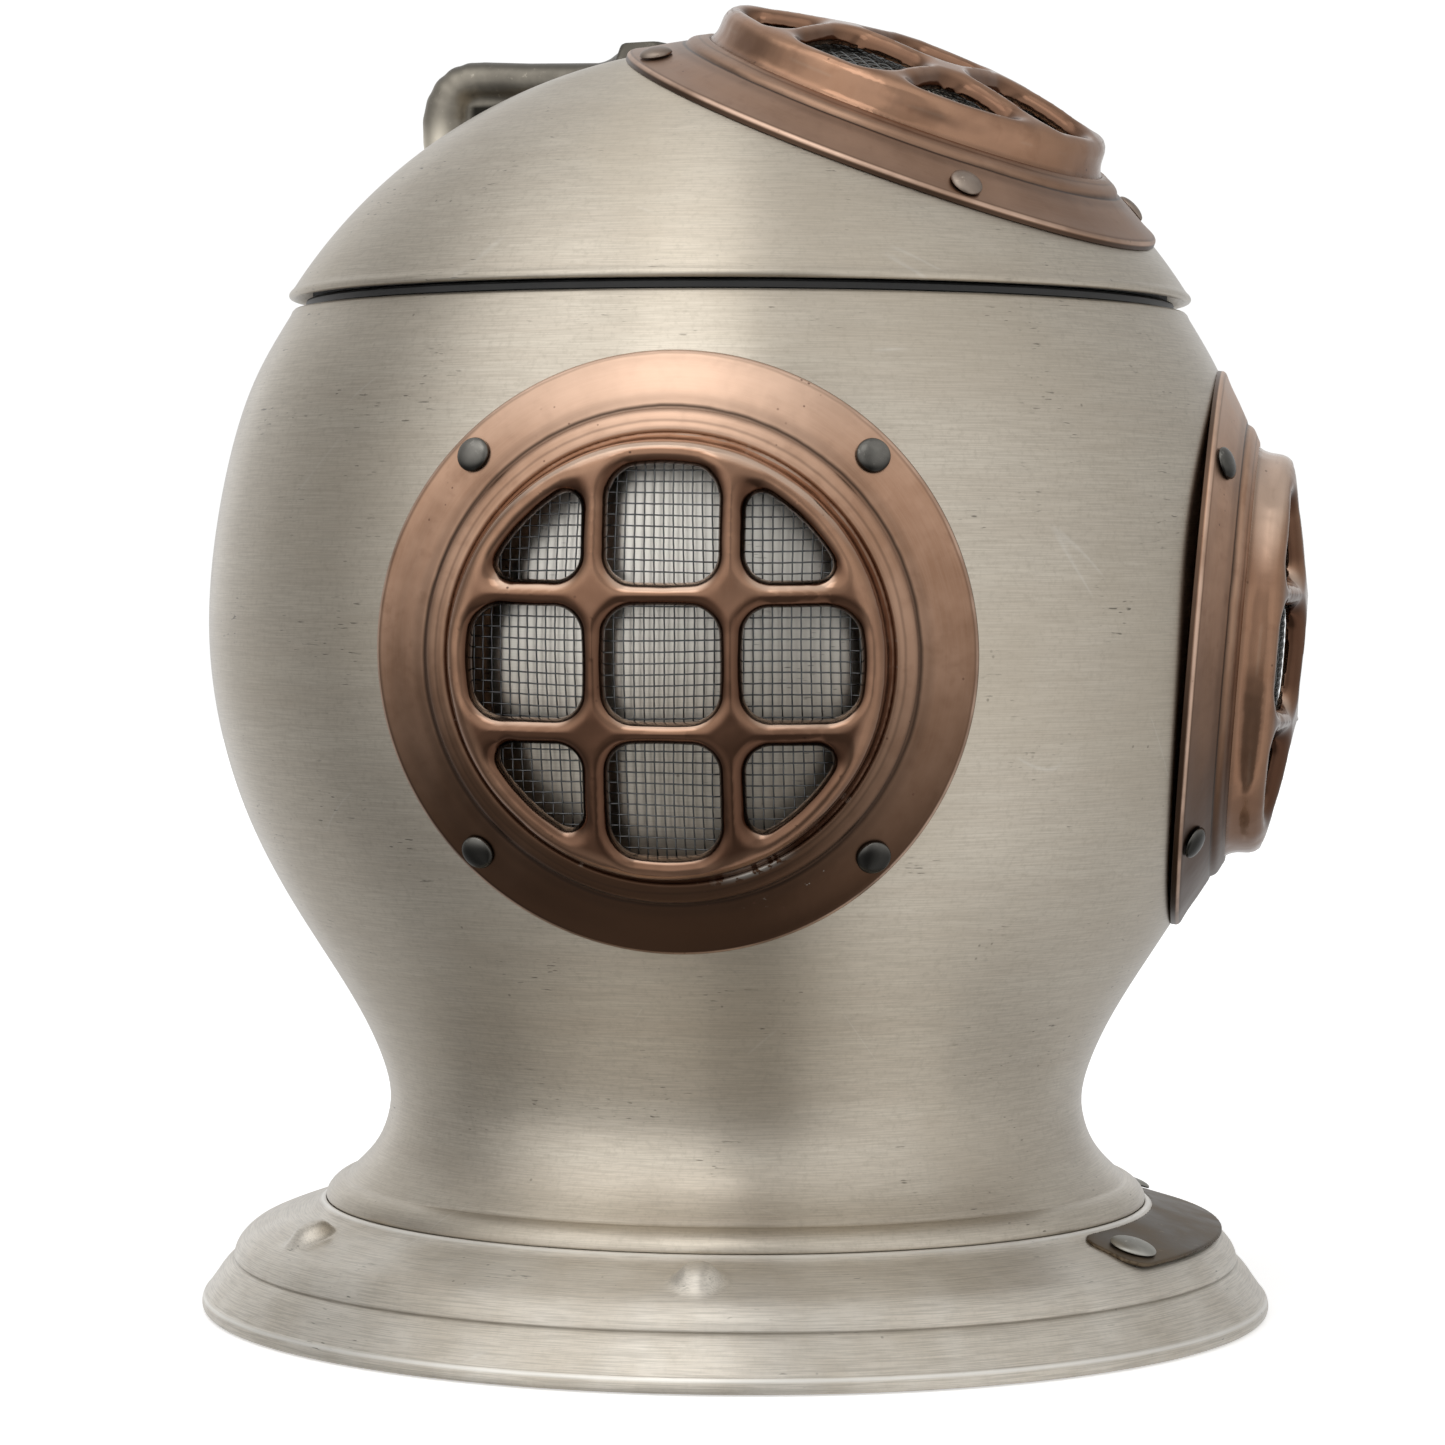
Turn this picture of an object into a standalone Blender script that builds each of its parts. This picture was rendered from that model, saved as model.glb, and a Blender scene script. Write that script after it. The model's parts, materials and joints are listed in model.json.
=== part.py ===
"""Diver's-helmet ice bucket, modelled piece by piece.

Metres, +Z up.  The origin is the centre of the underside, and the helmet's front window faces -Y.
The dimensions below are in millimetres and MM turns them into metres.  Outlines of turned pieces
are lists of (radius, height) that run clockwise: along the top, down the outside, back underneath.
"""

import math

import bmesh
import bpy
from mathutils import Matrix, Vector

MM = 0.001
GAP = 0.3                    # clearance between pieces that touch

# Shell of the helmet
WALL = 1.2                   # thickness of the spun sheet
BODY_TOP = 179.8             # flat land that carries the collar
BODY_FOOT = 18.3             # underside of the bead that stands on the base flange
LAND_RADIUS = 77.0           # inner edge of the rolled-in land
BASE_RADIUS = 97.0
BASE_TURN = math.radians(2.8)    # the base sits a little round from the windows
STUD_CIRCLE = 82.6

# Lid, a cap of a sphere that is centred on the helmet's axis
LID_RADIUS = 95.6
LID_CENTRE = 132.1
LID_EDGE_ANGLE = math.radians(57.4)
LID_TURN = math.radians(-22.5)   # how far the loose lid is turned from straight ahead
LID_WINDOW_TILT = math.radians(22.0)   # tilt of the lid's window from vertical

# Windows
RIM_RADIUS = 49.8            # outer edge of the riveted flange
BARREL_RADIUS = 35.9
BARREL_HEIGHT = 13.6
BARREL_FOOT = 6.6            # lower edge of the barrel, just clear of the sheet
GRILLE_CROWN = 19.5
GRILLE_THICKNESS = 3.5
DOME_SPRING = 15.0           # height at which the dome starts
COPPER_WALL = 1.0
CELL_CIRCLE = 31.6           # circle that bounds the grille's nine openings
BAR_OFFSET = 11.2
BAR_WIDTH = 4.2
MESH_THICKNESS = 0.6
SIDE_WINDOW_HEIGHT = 119.7
SIDE_WINDOW_OUT = 83.5       # from the helmet's axis to the plane of the rim
SIDE_WINDOW_DIP = math.radians(4.3)
LID_WINDOW_OUT = 82.6        # from the centre of the lid's sphere to the plane of the rim

# Rivets
RIVET_CIRCLE = 46.3
RIVET_LEAN = math.radians(28.5)  # square to the sloping flange
HEAD_RADIUS = 2.9
HEAD_RISE = 1.5
SHANK_RADIUS = 1.1
SHANK_LENGTH = 4.4
RIVET_HOLE = 1.5

# Liner and what carries it
LINER_RADIUS = 75.0
LINER_WALL = 3.0
LINER_TOP = 178.2
LINER_FLOOR = 50.0
CRADLE_HEIGHT = 43.0
BOLT_RADIUS = 3.0

# Handle, in the lid's own plane of symmetry
PIPE_HEIGHT = 223.3
NUT_RADIUS = 6.3             # across corners, halved
SCREW_RADIUS = 1.5
SCREW_ANGLES = (math.radians(13.5), math.radians(39.5))
SCREW_REACHES = (2.0, 3.6)

# Name plate
PLATE_HALF_ANGLE = math.radians(34.5)
PLATE_RIVET_ANGLE = math.radians(30.0)
PLATE_RIVET_CIRCLE = 83.0
PLATE_HEAD_RADIUS = 4.1
PLATE_OUTER = 88.4
PLATE_INNER = 75.7
PLATE_CORNER = 4.0

ROUND = 48                   # facets round the large turned pieces
SMALL_ROUND = 24
WINDOW_ROUND = 24            # flange
GRILLE_ROUND = 20
RIVET_ROUND = 8
LID_STEPS = 8                # facets from the lid's crown to its edge


# ---------------------------------------------------------------- scene and materials

def clear_scene():
    for old in list(bpy.data.objects):
        bpy.data.objects.remove(old, do_unlink=True)


def new_collection(name):
    group = bpy.data.collections.new(name)
    bpy.context.scene.collection.children.link(group)
    return group


def new_material(name, colour, roughness, metallic):
    made = bpy.data.materials.new(name)
    made.use_nodes = True
    shader = made.node_tree.nodes["Principled BSDF"]
    shader.inputs["Base Color"].default_value = (*colour, 1.0)
    shader.inputs["Roughness"].default_value = roughness
    shader.inputs["Metallic"].default_value = metallic
    made.diffuse_color = (*colour, 1.0)
    return made


clear_scene()
PARTS = new_collection("helmet_ice_bucket")
CUTTERS = new_collection("cutters")

ALUMINIUM = new_material("brushed_aluminium", (0.62, 0.60, 0.56), 0.42, 1.0)
COPPER = new_material("antiqued_copper", (0.48, 0.25, 0.15), 0.38, 1.0)
GUNMETAL = new_material("dark_rivet", (0.10, 0.10, 0.10), 0.45, 1.0)
PEWTER = new_material("handle_pewter", (0.22, 0.20, 0.18), 0.5, 1.0)
BRONZE = new_material("plate_bronze", (0.16, 0.12, 0.09), 0.5, 1.0)
WIRE = new_material("woven_wire", (0.45, 0.46, 0.46), 0.35, 1.0)
SILVERED = new_material("silvered_glass", (0.90, 0.90, 0.89), 0.05, 1.0)
STEEL = new_material("plated_steel", (0.55, 0.55, 0.55), 0.3, 1.0)
PLASTIC = new_material("black_plastic", (0.02, 0.02, 0.02), 0.4, 0.0)
RUBBER = new_material("grey_rubber", (0.10, 0.10, 0.10), 0.8, 0.0)
FELT = new_material("green_felt", (0.03, 0.08, 0.04), 0.95, 0.0)


# ---------------------------------------------------------------- placing and shaping helpers

def place(thing, matrix, parent):
    """Put an object at a matrix given in millimetres in its parent's frame."""
    location, rotation, _ = matrix.decompose()
    thing.parent = parent
    thing.location = location * MM
    thing.rotation_euler = rotation.to_euler()


def mesh_object(name, bm, material, group):
    """Turn a bmesh in millimetres into an object in metres."""
    bmesh.ops.scale(bm, vec=(MM, MM, MM), verts=bm.verts)
    data = bpy.data.meshes.new(name)
    bm.to_mesh(data)
    bm.free()
    thing = bpy.data.objects.new(name, data)
    group.objects.link(thing)
    if material:
        data.materials.append(material)
    if group is CUTTERS:
        thing.hide_render = True
        thing.display_type = "WIRE"
    return thing


def turned(name, outline, steps, material=None, matrix=Matrix(), parent=None, group=PARTS):
    """A turned solid.  An outline that starts on the axis stays open there, any other is closed."""
    bm = bmesh.new()
    corners = [bm.verts.new((radius, 0.0, height)) for radius, height in outline]
    ends = list(zip(corners, corners[1:]))
    if outline[0][0] > 0.0:
        ends.append((corners[-1], corners[0]))
    for first, second in ends:
        bm.edges.new((first, second))
    thing = mesh_object(name, bm, material, group)
    screw = thing.modifiers.new("turn", "SCREW")
    screw.angle = math.tau
    screw.steps = steps
    screw.render_steps = steps
    screw.use_merge_vertices = True
    screw.merge_threshold = 0.00001
    screw.use_smooth_shade = False
    place(thing, matrix, parent)
    return thing


def apply_boolean(thing, cutter, operation="DIFFERENCE"):
    step = thing.modifiers.new(operation.lower(), "BOOLEAN")
    step.operation = operation
    step.object = cutter
    step.solver = "EXACT"


def slope(first, second):
    return Vector((second[0] - first[0], second[1] - first[1])).normalized()


def offset_path(points, distance):
    """Move a path sideways by a distance, to the right of its direction when positive."""
    moved = []
    for index, point in enumerate(points):
        before = slope(points[max(index - 1, 0)], points[max(index, 1)])
        after = slope(points[min(index, len(points) - 2)], points[min(index + 1, len(points) - 1)])
        side = Vector((before.y + after.y, -before.x - after.x)).normalized()
        stretch = side.dot(Vector((after.y, -after.x)))
        moved.append((point[0] + side.x * distance / stretch, point[1] + side.y * distance / stretch))
    return moved


def smooth_path(knots, per_span):
    """Catmull-Rom curve through knots, as a list of points."""
    padded = [knots[0]] + list(knots) + [knots[-1]]
    path = []
    for index in range(1, len(padded) - 2):
        p0, p1, p2, p3 = (Vector(padded[index + k]) for k in (-1, 0, 1, 2))
        for step in range(per_span):
            t = step / per_span
            bend = (2 * p0 - 5 * p1 + 4 * p2 - p3) * t * t + (3 * p1 - p0 - 3 * p2 + p3) * t ** 3
            point = 0.5 * (2 * p1 + (p2 - p0) * t + bend)
            path.append((point.x, point.y))
    path.append(tuple(knots[-1]))
    return path


def arc(radius, centre_height, start, end, steps):
    """Points on a circle centred on the axis, by angle from straight up."""
    points = []
    for step in range(steps + 1):
        angle = start + (end - start) * step / steps
        points.append((radius * math.sin(angle), centre_height + radius * math.cos(angle)))
    return points


def sheet(outer, thickness):
    """Close an outer path into the outline of a sheet of the given thickness."""
    return outer + offset_path(outer, thickness)[::-1]


def flat_outline(name, points, low, high):
    """A flat 2D curve, filled and extruded from one height to another, then made a mesh cutter."""
    curve = bpy.data.curves.new(name, "CURVE")
    curve.dimensions = "2D"
    curve.fill_mode = "BOTH"
    curve.extrude = (high - low) / 2 * MM
    spline = curve.splines.new("POLY")
    spline.points.add(len(points) - 1)
    for corner, (x, y) in zip(spline.points, points):
        corner.co = (x * MM, y * MM, 0.0, 1.0)
    spline.use_cyclic_u = True
    return curve_to_mesh(name, curve, Matrix.Translation((0, 0, (low + high) / 2 * MM)))


def curve_to_mesh(name, curve, matrix_in_metres):
    """Replace a curve by its mesh, with the loose caps welded on, as a cutter."""
    drawn = bpy.data.objects.new(name + "_curve", curve)
    CUTTERS.objects.link(drawn)
    bpy.context.view_layer.update()
    shape = bpy.data.meshes.new_from_object(drawn.evaluated_get(bpy.context.evaluated_depsgraph_get()))
    bpy.data.objects.remove(drawn, do_unlink=True)
    bm = bmesh.new()
    bm.from_mesh(shape)
    bmesh.ops.remove_doubles(bm, verts=bm.verts, dist=0.00001)
    bmesh.ops.recalc_face_normals(bm, faces=bm.faces)
    bm.transform(matrix_in_metres)
    bm.to_mesh(shape)
    bm.free()
    thing = bpy.data.objects.new(name, shape)
    CUTTERS.objects.link(thing)
    thing.hide_render = True
    thing.display_type = "WIRE"
    return thing


def box_mesh(name, low, high, matrix=Matrix(), parent=None):
    """A box cutter between two corners."""
    bm = bmesh.new()
    bmesh.ops.create_cube(bm, size=1.0)
    size = [high[k] - low[k] for k in range(3)]
    middle = [(high[k] + low[k]) / 2 for k in range(3)]
    bmesh.ops.scale(bm, vec=size, verts=bm.verts)
    bmesh.ops.translate(bm, vec=middle, verts=bm.verts)
    thing = mesh_object(name, bm, None, CUTTERS)
    place(thing, matrix, parent)
    return thing


def cylinder_mesh(name, radii, low, high, sides, matrices, parent=None, spin=0.0):
    """Cylinders or cones between two heights, one at each matrix, in one cutter."""
    bm = bmesh.new()
    for matrix in matrices:
        middle = Matrix.Translation((0, 0, (low + high) / 2)) @ Matrix.Rotation(spin, 4, "Z")
        bmesh.ops.create_cone(bm, cap_ends=True, segments=sides, radius1=radii[0], radius2=radii[1],
                              depth=high - low, matrix=matrix @ middle)
    thing = mesh_object(name, bm, None, CUTTERS)
    place(thing, Matrix(), parent)
    return thing


def empty(name, matrix=Matrix(), parent=None):
    thing = bpy.data.objects.new(name, None)
    PARTS.objects.link(thing)
    place(thing, matrix, parent)
    return thing


# ---------------------------------------------------------------- outlines

def body_outer():
    """Outer face of the helmet's body, from the land at the top to the bead at the foot."""
    globe = smooth_path([(81.2, 178.6), (91.4, 155.0), (95.6, 121.0), (86.7, 84.5), (69.5, 55.4),
                         (62.9, 37.2)], 2)
    top = [(LAND_RADIUS, BODY_TOP), (80.4, BODY_TOP)]
    foot = [(66.2, 27.6), (71.2, 24.0), (74.6, 21.4), (74.2, BODY_FOOT), (70.4, BODY_FOOT)]
    return top + globe + foot


def base_outer():
    """Upper face of the base flange, from its inner land out over the slope to the rim."""
    return [(66.0, 18.0), (76.5, 17.7), (87.2, 14.4), (91.0, 10.0), (95.4, 4.0),
            (BASE_RADIUS, 1.6), (BASE_RADIUS, 0.0), (94.4, 0.0)]


def lid_outer():
    """Upper face of the lid and its rolled edge."""
    cap = arc(LID_RADIUS, LID_CENTRE, 0.0, LID_EDGE_ANGLE, LID_STEPS)
    return cap + [(81.5, 183.0), (81.5, 181.7), (80.1, 181.7)]


def lid_outline():
    outer = lid_outer()
    inner = arc(LID_RADIUS - WALL, LID_CENTRE, 0.0, LID_EDGE_ANGLE, LID_STEPS)
    return inner + [(79.9, 182.8)] + outer[:0:-1] + outer[:1]


# ---------------------------------------------------------------- windows

def window_frame(centre, normal):
    """A frame with +Z along the window's normal and +X level."""
    across = Vector((0, 0, 1)).cross(normal).normalized()
    up = normal.cross(across)
    turn = Matrix((across, up, normal)).transposed().to_4x4()
    return Matrix.Translation(centre) @ turn


def side_window_frame(azimuth):
    """A window of the body, by its angle round the helmet from the front towards +X."""
    level = Vector((math.sin(azimuth), -math.cos(azimuth), 0))
    normal = level * math.cos(SIDE_WINDOW_DIP) - Vector((0, 0, math.sin(SIDE_WINDOW_DIP)))
    return window_frame(level * SIDE_WINDOW_OUT + Vector((0, 0, SIDE_WINDOW_HEIGHT)), normal)


def lid_window_frame():
    normal = Vector((0, -math.sin(LID_WINDOW_TILT), math.cos(LID_WINDOW_TILT)))
    return window_frame(Vector((0, 0, LID_CENTRE)) + normal * LID_WINDOW_OUT, normal)


def rivet_frames():
    """Where the four rivets sit, in the window's frame, square to the sloping flange."""
    frames = []
    for corner in range(4):
        turn = Matrix.Rotation(math.radians(45 + 90 * corner), 4, "Z")
        seat = Matrix.Translation((RIVET_CIRCLE, 0, flange_height(RIVET_CIRCLE)))
        frames.append(turn @ seat @ Matrix.Rotation(RIVET_LEAN, 4, "Y"))
    return frames


def flange_height(radius):
    """Height of the flange's upper face at a radius on its slope."""
    slope_foot, slope_top = (RIM_RADIUS, 0.9), (40.6, 5.9)
    share = (slope_foot[0] - radius) / (slope_foot[0] - slope_top[0])
    return slope_foot[1] + share * (slope_top[1] - slope_foot[1])


def rivet(name, matrix, parent, material, head=HEAD_RADIUS, shank=SHANK_LENGTH):
    """A rivet with a low domed head, its shank running down its own -Z."""
    outline = [(0, HEAD_RISE), (0.65 * head, 0.78 * HEAD_RISE), (head, GAP), (SHANK_RADIUS, GAP),
               (SHANK_RADIUS, -shank), (0, -shank)]
    return turned(name, outline, RIVET_ROUND, material, matrix, parent)


def window(name, frame, sheet_metal, parent):
    """One blind window over unbroken sheet: riveted flange, grille cup, wire mesh and four rivets."""
    seat = empty(name + "_seat", frame, parent)
    rivets = rivet_frames()
    rivet_holes = cylinder_mesh(name + "_rivet_holes", (RIVET_HOLE, RIVET_HOLE), -9.0, 2.5,
                                RIVET_ROUND, rivets, seat)
    apply_boolean(sheet_metal, rivet_holes)

    neck = BARREL_RADIUS + 2 * GAP
    flange = turned(name + "_flange", [
        (neck, 7.8), (40.6, 5.9), (RIM_RADIUS, 0.9), (RIM_RADIUS, 0.0), (40.2, 4.9), (neck, 6.8)],
        WINDOW_ROUND, COPPER, parent=seat)
    apply_boolean(flange, rivet_holes)

    make_grille(name, seat)
    make_mesh(name, seat, BARREL_RADIUS - COPPER_WALL - 3 * GAP)
    for index, matrix in enumerate(rivets):
        rivet(f"{name}_rivet_{index + 1}", matrix, seat, GUNMETAL)


def make_grille(name, seat):
    """Drawn copper cup: a barrel pressed into the flange's neck, and a dome with nine openings."""
    bore = BARREL_RADIUS - COPPER_WALL
    half_way = (CELL_CIRCLE / 2, GRILLE_CROWN - (GRILLE_CROWN - DOME_SPRING) / 4)
    under_half_way = (half_way[0], half_way[1] - GRILLE_THICKNESS)
    cup = turned(name + "_grille", [
        (0, GRILLE_CROWN), half_way, (CELL_CIRCLE, DOME_SPRING), (BARREL_RADIUS, BARREL_HEIGHT),
        (BARREL_RADIUS, BARREL_FOOT), (bore, BARREL_FOOT), (bore, 11.2),
        (CELL_CIRCLE, 11.4), under_half_way, (0, GRILLE_CROWN - GRILLE_THICKNESS)],
        GRILLE_ROUND, COPPER, parent=seat)
    cells = cylinder_mesh(name + "_cells", (CELL_CIRCLE, CELL_CIRCLE), 8.0, 25.0, GRILLE_ROUND,
                          [Matrix()], seat)
    half_bar = BAR_WIDTH / 2
    for side in (-1, 1):
        middle = side * BAR_OFFSET
        upright = box_mesh(f"{name}_upright_{side}", (middle - half_bar, -40, 0),
                           (middle + half_bar, 40, 30), parent=seat)
        level = box_mesh(f"{name}_level_{side}", (-40, middle - half_bar, 0),
                         (40, middle + half_bar, 30), parent=seat)
        apply_boolean(cells, upright)
        apply_boolean(cells, level)
    apply_boolean(cup, cells)


def make_mesh(name, seat, edge):
    """The woven wire behind the grille, as one thin dome."""
    crown = GRILLE_CROWN - GRILLE_THICKNESS - 2 * GAP
    upper = [(0, crown), (edge, 10.6)]
    lower = [(radius, height - MESH_THICKNESS) for radius, height in upper]
    turned(name + "_mesh", upper + lower[::-1], SMALL_ROUND, WIRE, parent=seat)


# ---------------------------------------------------------------- body and base

def make_body():
    shell = turned("body_shell", sheet(body_outer(), WALL), ROUND, ALUMINIUM)
    for name, azimuth in (("front_window", 0), ("right_window", -90), ("left_window", 90)):
        window(name, side_window_frame(math.radians(azimuth)), shell, None)


def make_base():
    """Base flange with its four raised studs, and the blank name plate riveted on in front."""
    base_axis = empty("base_axis", Matrix.Rotation(BASE_TURN, 4, "Z"))
    flange = turned("base_flange", sheet(base_outer(), WALL), ROUND, ALUMINIUM, parent=base_axis)
    studs = []
    for angle in (90, 150, 210, 270):
        studs.append(Matrix.Rotation(math.radians(angle - 90), 4, "Z")
                     @ Matrix.Translation((STUD_CIRCLE, 0, 16.7))
                     @ Matrix.Rotation(math.radians(19), 4, "Y"))
    bumps = cylinder_mesh("base_studs", (4.2, 2.2), -1.4, 0.9, 12, studs, base_axis)
    apply_boolean(flange, bumps, "UNION")

    holes = []
    for name, side in (("plate_rivet_right", -1), ("plate_rivet_left", 1)):
        turn = Matrix.Rotation(side * PLATE_RIVET_ANGLE - math.pi / 2, 4, "Z")
        seat = (turn @ Matrix.Translation((PLATE_RIVET_CIRCLE, 0, 16.8))
                @ Matrix.Rotation(math.radians(18), 4, "Y"))
        holes.append(seat)
        rivet(name, seat, base_axis, ALUMINIUM, PLATE_HEAD_RADIUS, shank=3.6)
    rivet_holes = cylinder_mesh("plate_rivet_holes", (RIVET_HOLE, RIVET_HOLE), -5.0, 2.5,
                                RIVET_ROUND, holes, base_axis)
    apply_boolean(flange, rivet_holes)
    make_name_plate(base_axis, rivet_holes)


def make_name_plate(base_axis, rivet_holes):
    """A ring that follows the flange's slope, trimmed to a curved plate with rounded corners."""
    slope_line = [(75.4, 18.03), (88.7, 13.94)]
    under = [(radius, height + GAP) for radius, height in slope_line]
    upper = [(radius, height + GAP + 0.7) for radius, height in slope_line]
    plate = turned("name_plate", upper + under[::-1], ROUND, BRONZE, parent=base_axis)
    outline = plate_edge(PLATE_OUTER, -1, 1)
    outline += plate_corner(1, PLATE_OUTER, -1) + plate_corner(1, PLATE_INNER, 1)[::-1]
    outline += plate_edge(PLATE_INNER, 1, -1)
    outline += plate_corner(-1, PLATE_INNER, 1) + plate_corner(-1, PLATE_OUTER, -1)[::-1]
    trim = flat_outline("name_plate_trim", outline, 12.0, 22.0)
    trim.parent = base_axis
    apply_boolean(plate, trim, "INTERSECT")
    apply_boolean(plate, rivet_holes)


def polar(radius, angle):
    """A point in plan, by its angle from the front towards +X."""
    return (radius * math.sin(angle), -radius * math.cos(angle))


def plate_edge(radius, start, end):
    reach = PLATE_HALF_ANGLE - PLATE_CORNER / radius
    return [polar(radius, reach * (start + (end - start) * step / 10)) for step in range(11)]


def plate_corner(side, radius, inward):
    """Three points that round one corner of the plate, from its long edge to its end."""
    points = []
    for step in (1, 2, 3):
        angle = math.radians(30 * step)
        across = PLATE_CORNER * (1 - math.sin(angle)) / radius
        points.append(polar(radius + inward * PLATE_CORNER * (1 - math.cos(angle)),
                            side * (PLATE_HALF_ANGLE - across)))
    return points


def make_underside():
    """Clamp plate, tie bolt and nut that hold body, base and cradle together, and the felt cover."""
    turned("clamp_plate", [(BOLT_RADIUS + GAP, 16.5), (71.5, 16.5), (71.5, 15.5),
                           (BOLT_RADIUS + GAP, 15.5)], SMALL_ROUND, STEEL)
    turned("tie_bolt", [(0, 48.6), (BOLT_RADIUS, 48.6), (BOLT_RADIUS, 15.2), (5.8, 15.2), (5.8, 11.4),
                        (0, 11.4)], 6, STEEL)
    turned("tie_nut", [(BOLT_RADIUS + GAP, 48.0), (5.8, 48.0), (5.8, 44.5),
                       (BOLT_RADIUS + GAP, 44.5)], 6, STEEL)
    turned("base_cover", [(0, 2.8), (91.0, 2.8), (91.0, 1.6), (0, 1.6)], SMALL_ROUND, STEEL)
    turned("felt_pad", [(0, 1.3), (89.0, 1.3), (89.0, 0.0), (0, 0.0)], SMALL_ROUND, FELT)


# ---------------------------------------------------------------- liner

def make_liner():
    """Silvered liner standing on a rubber ring in a dished cradle, with the collar round its mouth."""
    outer = [(LINER_RADIUS, LINER_TOP), (LINER_RADIUS, 88.0), (72.6, 74.0), (66.0, 62.0),
             (53.0, 53.0), (38.0, LINER_FLOOR), (0.0, LINER_FLOOR)]
    inner = offset_path(outer, LINER_WALL)
    inner[-1] = (0.0, LINER_FLOOR + LINER_WALL)
    inner[0] = (LINER_RADIUS - LINER_WALL, LINER_TOP)
    turned("liner", inner[::-1] + outer, ROUND, SILVERED)
    turned("liner_collar", [(71.4, 181.5), (78.4, 181.5), (78.4, BODY_TOP + GAP),
                            (76.6, BODY_TOP + GAP), (76.6, 171.0), (75.4, 171.0), (75.4, 178.6),
                            (71.4, 178.6)], ROUND, PLASTIC)
    turned("liner_cushion", [(32.0, 49.7), (48.0, 49.7), (48.0, 44.5), (32.0, 44.5)],
           SMALL_ROUND, RUBBER)
    turned("liner_cradle", [(BOLT_RADIUS + GAP, CRADLE_HEIGHT + 1.2), (62.4, CRADLE_HEIGHT + 1.2),
                            (62.2, CRADLE_HEIGHT), (BOLT_RADIUS + GAP, CRADLE_HEIGHT)],
           ROUND, STEEL)


# ---------------------------------------------------------------- lid and handle

def make_lid():
    lid_axis = empty("lid_axis", Matrix.Rotation(LID_TURN, 4, "Z"))
    turned("lid_gasket", [(72.6, 183.7), (77.2, 183.7), (77.2, 181.8), (72.6, 181.8)],
           ROUND, RUBBER, parent=lid_axis)
    turned("lid_pan", [(0, 174.5), (69.8, 174.5), (69.8, 184.8), (77.5, 184.8), (77.5, 184.0),
                       (70.6, 184.0), (70.6, 173.7), (0, 173.7)], ROUND, ALUMINIUM,
           parent=lid_axis)
    shell = turned("lid_shell", lid_outline(), ROUND, ALUMINIUM, parent=lid_axis)
    window("lid_window", lid_window_frame(), shell, lid_axis)
    make_handle(lid_axis, shell)


def handle_path():
    """Centre line of the handle behind the axis: (distance back, height, radius)."""
    return [(18.0, PIPE_HEIGHT, 3.3), (30.0, PIPE_HEIGHT, 3.3), (55.0, 224.5, 3.4),
            (59.3, 223.9, 3.8), (61.8, 221.8, 4.2), (63.0, 218.8, 4.6), (63.2, 215.1, 4.8),
            (62.2, 209.6, 4.9), (60.2, 196.0, 5.0)]


def make_handle(lid_axis, lid_shell):
    """Cast handle: a hexagon nut, a short cone and a pipe that bends down into the lid."""
    nut = cylinder_mesh("handle_nut", (NUT_RADIUS, NUT_RADIUS), 16.2, 22.8, 6,
                        [along_back(PIPE_HEIGHT)], None,
                        spin=math.radians(30))
    casting = bpy.data.objects.new("handle", nut.data)
    PARTS.objects.link(casting)
    casting.parent = lid_axis
    casting.data.materials.append(PEWTER)
    bpy.data.objects.remove(nut, do_unlink=True)

    cone = cylinder_mesh("handle_cone", (5.3, 3.2), 22.0, 29.8, 16, [along_back(PIPE_HEIGHT)],
                         lid_axis)
    curve = bpy.data.curves.new("handle_pipe", "CURVE")
    curve.dimensions = "3D"
    curve.bevel_depth = MM
    curve.bevel_resolution = 3
    curve.use_fill_caps = True
    spline = curve.splines.new("POLY")
    path = handle_path()
    spline.points.add(len(path) - 1)
    for point, (back, height, radius) in zip(spline.points, path):
        point.co = (0.0, back * MM, height * MM, 1.0)
        point.radius = radius
    pipe = curve_to_mesh("handle_pipe", curve, Matrix())
    pipe.parent = lid_axis
    web = box_mesh("handle_web", (-1.6, 24.0, 196.0), (1.6, 61.0, PIPE_HEIGHT), parent=lid_axis)
    for piece in (cone, pipe, web):
        apply_boolean(casting, piece, "UNION")

    dome = turned("handle_seat", [(0, LID_CENTRE + LID_RADIUS + GAP)]
                  + offset_path(lid_outer()[:LID_STEPS + 1], -GAP)[1:] + [(40.0, 150.0), (0, 150.0)],
                  ROUND, parent=lid_axis, group=CUTTERS)
    apply_boolean(casting, dome)
    for name, angle, reach in zip(("handle_screw_front", "handle_screw_rear"), SCREW_ANGLES,
                                  SCREW_REACHES):
        seat = (Matrix.Translation((0, 0, LID_CENTRE)) @ Matrix.Rotation(-angle, 4, "X")
                @ Matrix.Translation((0, 0, LID_RADIUS)))
        hole = cylinder_mesh(name + "_hole", (SCREW_RADIUS + GAP, SCREW_RADIUS + GAP), -6.0,
                             reach + GAP, RIVET_ROUND, [seat], lid_axis)
        apply_boolean(casting, hole)
        apply_boolean(lid_shell, hole)
        turned(name, [(0, reach), (SCREW_RADIUS, reach), (SCREW_RADIUS, -WALL - GAP),
                      (3.0, -WALL - GAP), (2.4, -WALL - 2.2), (0, -WALL - 2.2)],
               RIVET_ROUND, STEEL, seat, lid_axis)


def along_back(height):
    """A frame at a height on the axis whose +Z runs straight back."""
    return Matrix.Translation((0, 0, height)) @ Matrix.Rotation(-math.pi / 2, 4, "X")


make_body()
make_base()
make_underside()
make_liner()
make_lid()
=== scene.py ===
"""Looks of the diver's-helmet ice bucket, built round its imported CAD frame.

Lengths are in millimetres and MM turns them into metres.  Outlines of turned pieces are lists of
(radius, height).  The front window faces -Y, and the camera looks at the helmet from its -X side.
"""

import json
import math

import bpy
import numpy as np
from mathutils import Matrix, Vector


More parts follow.
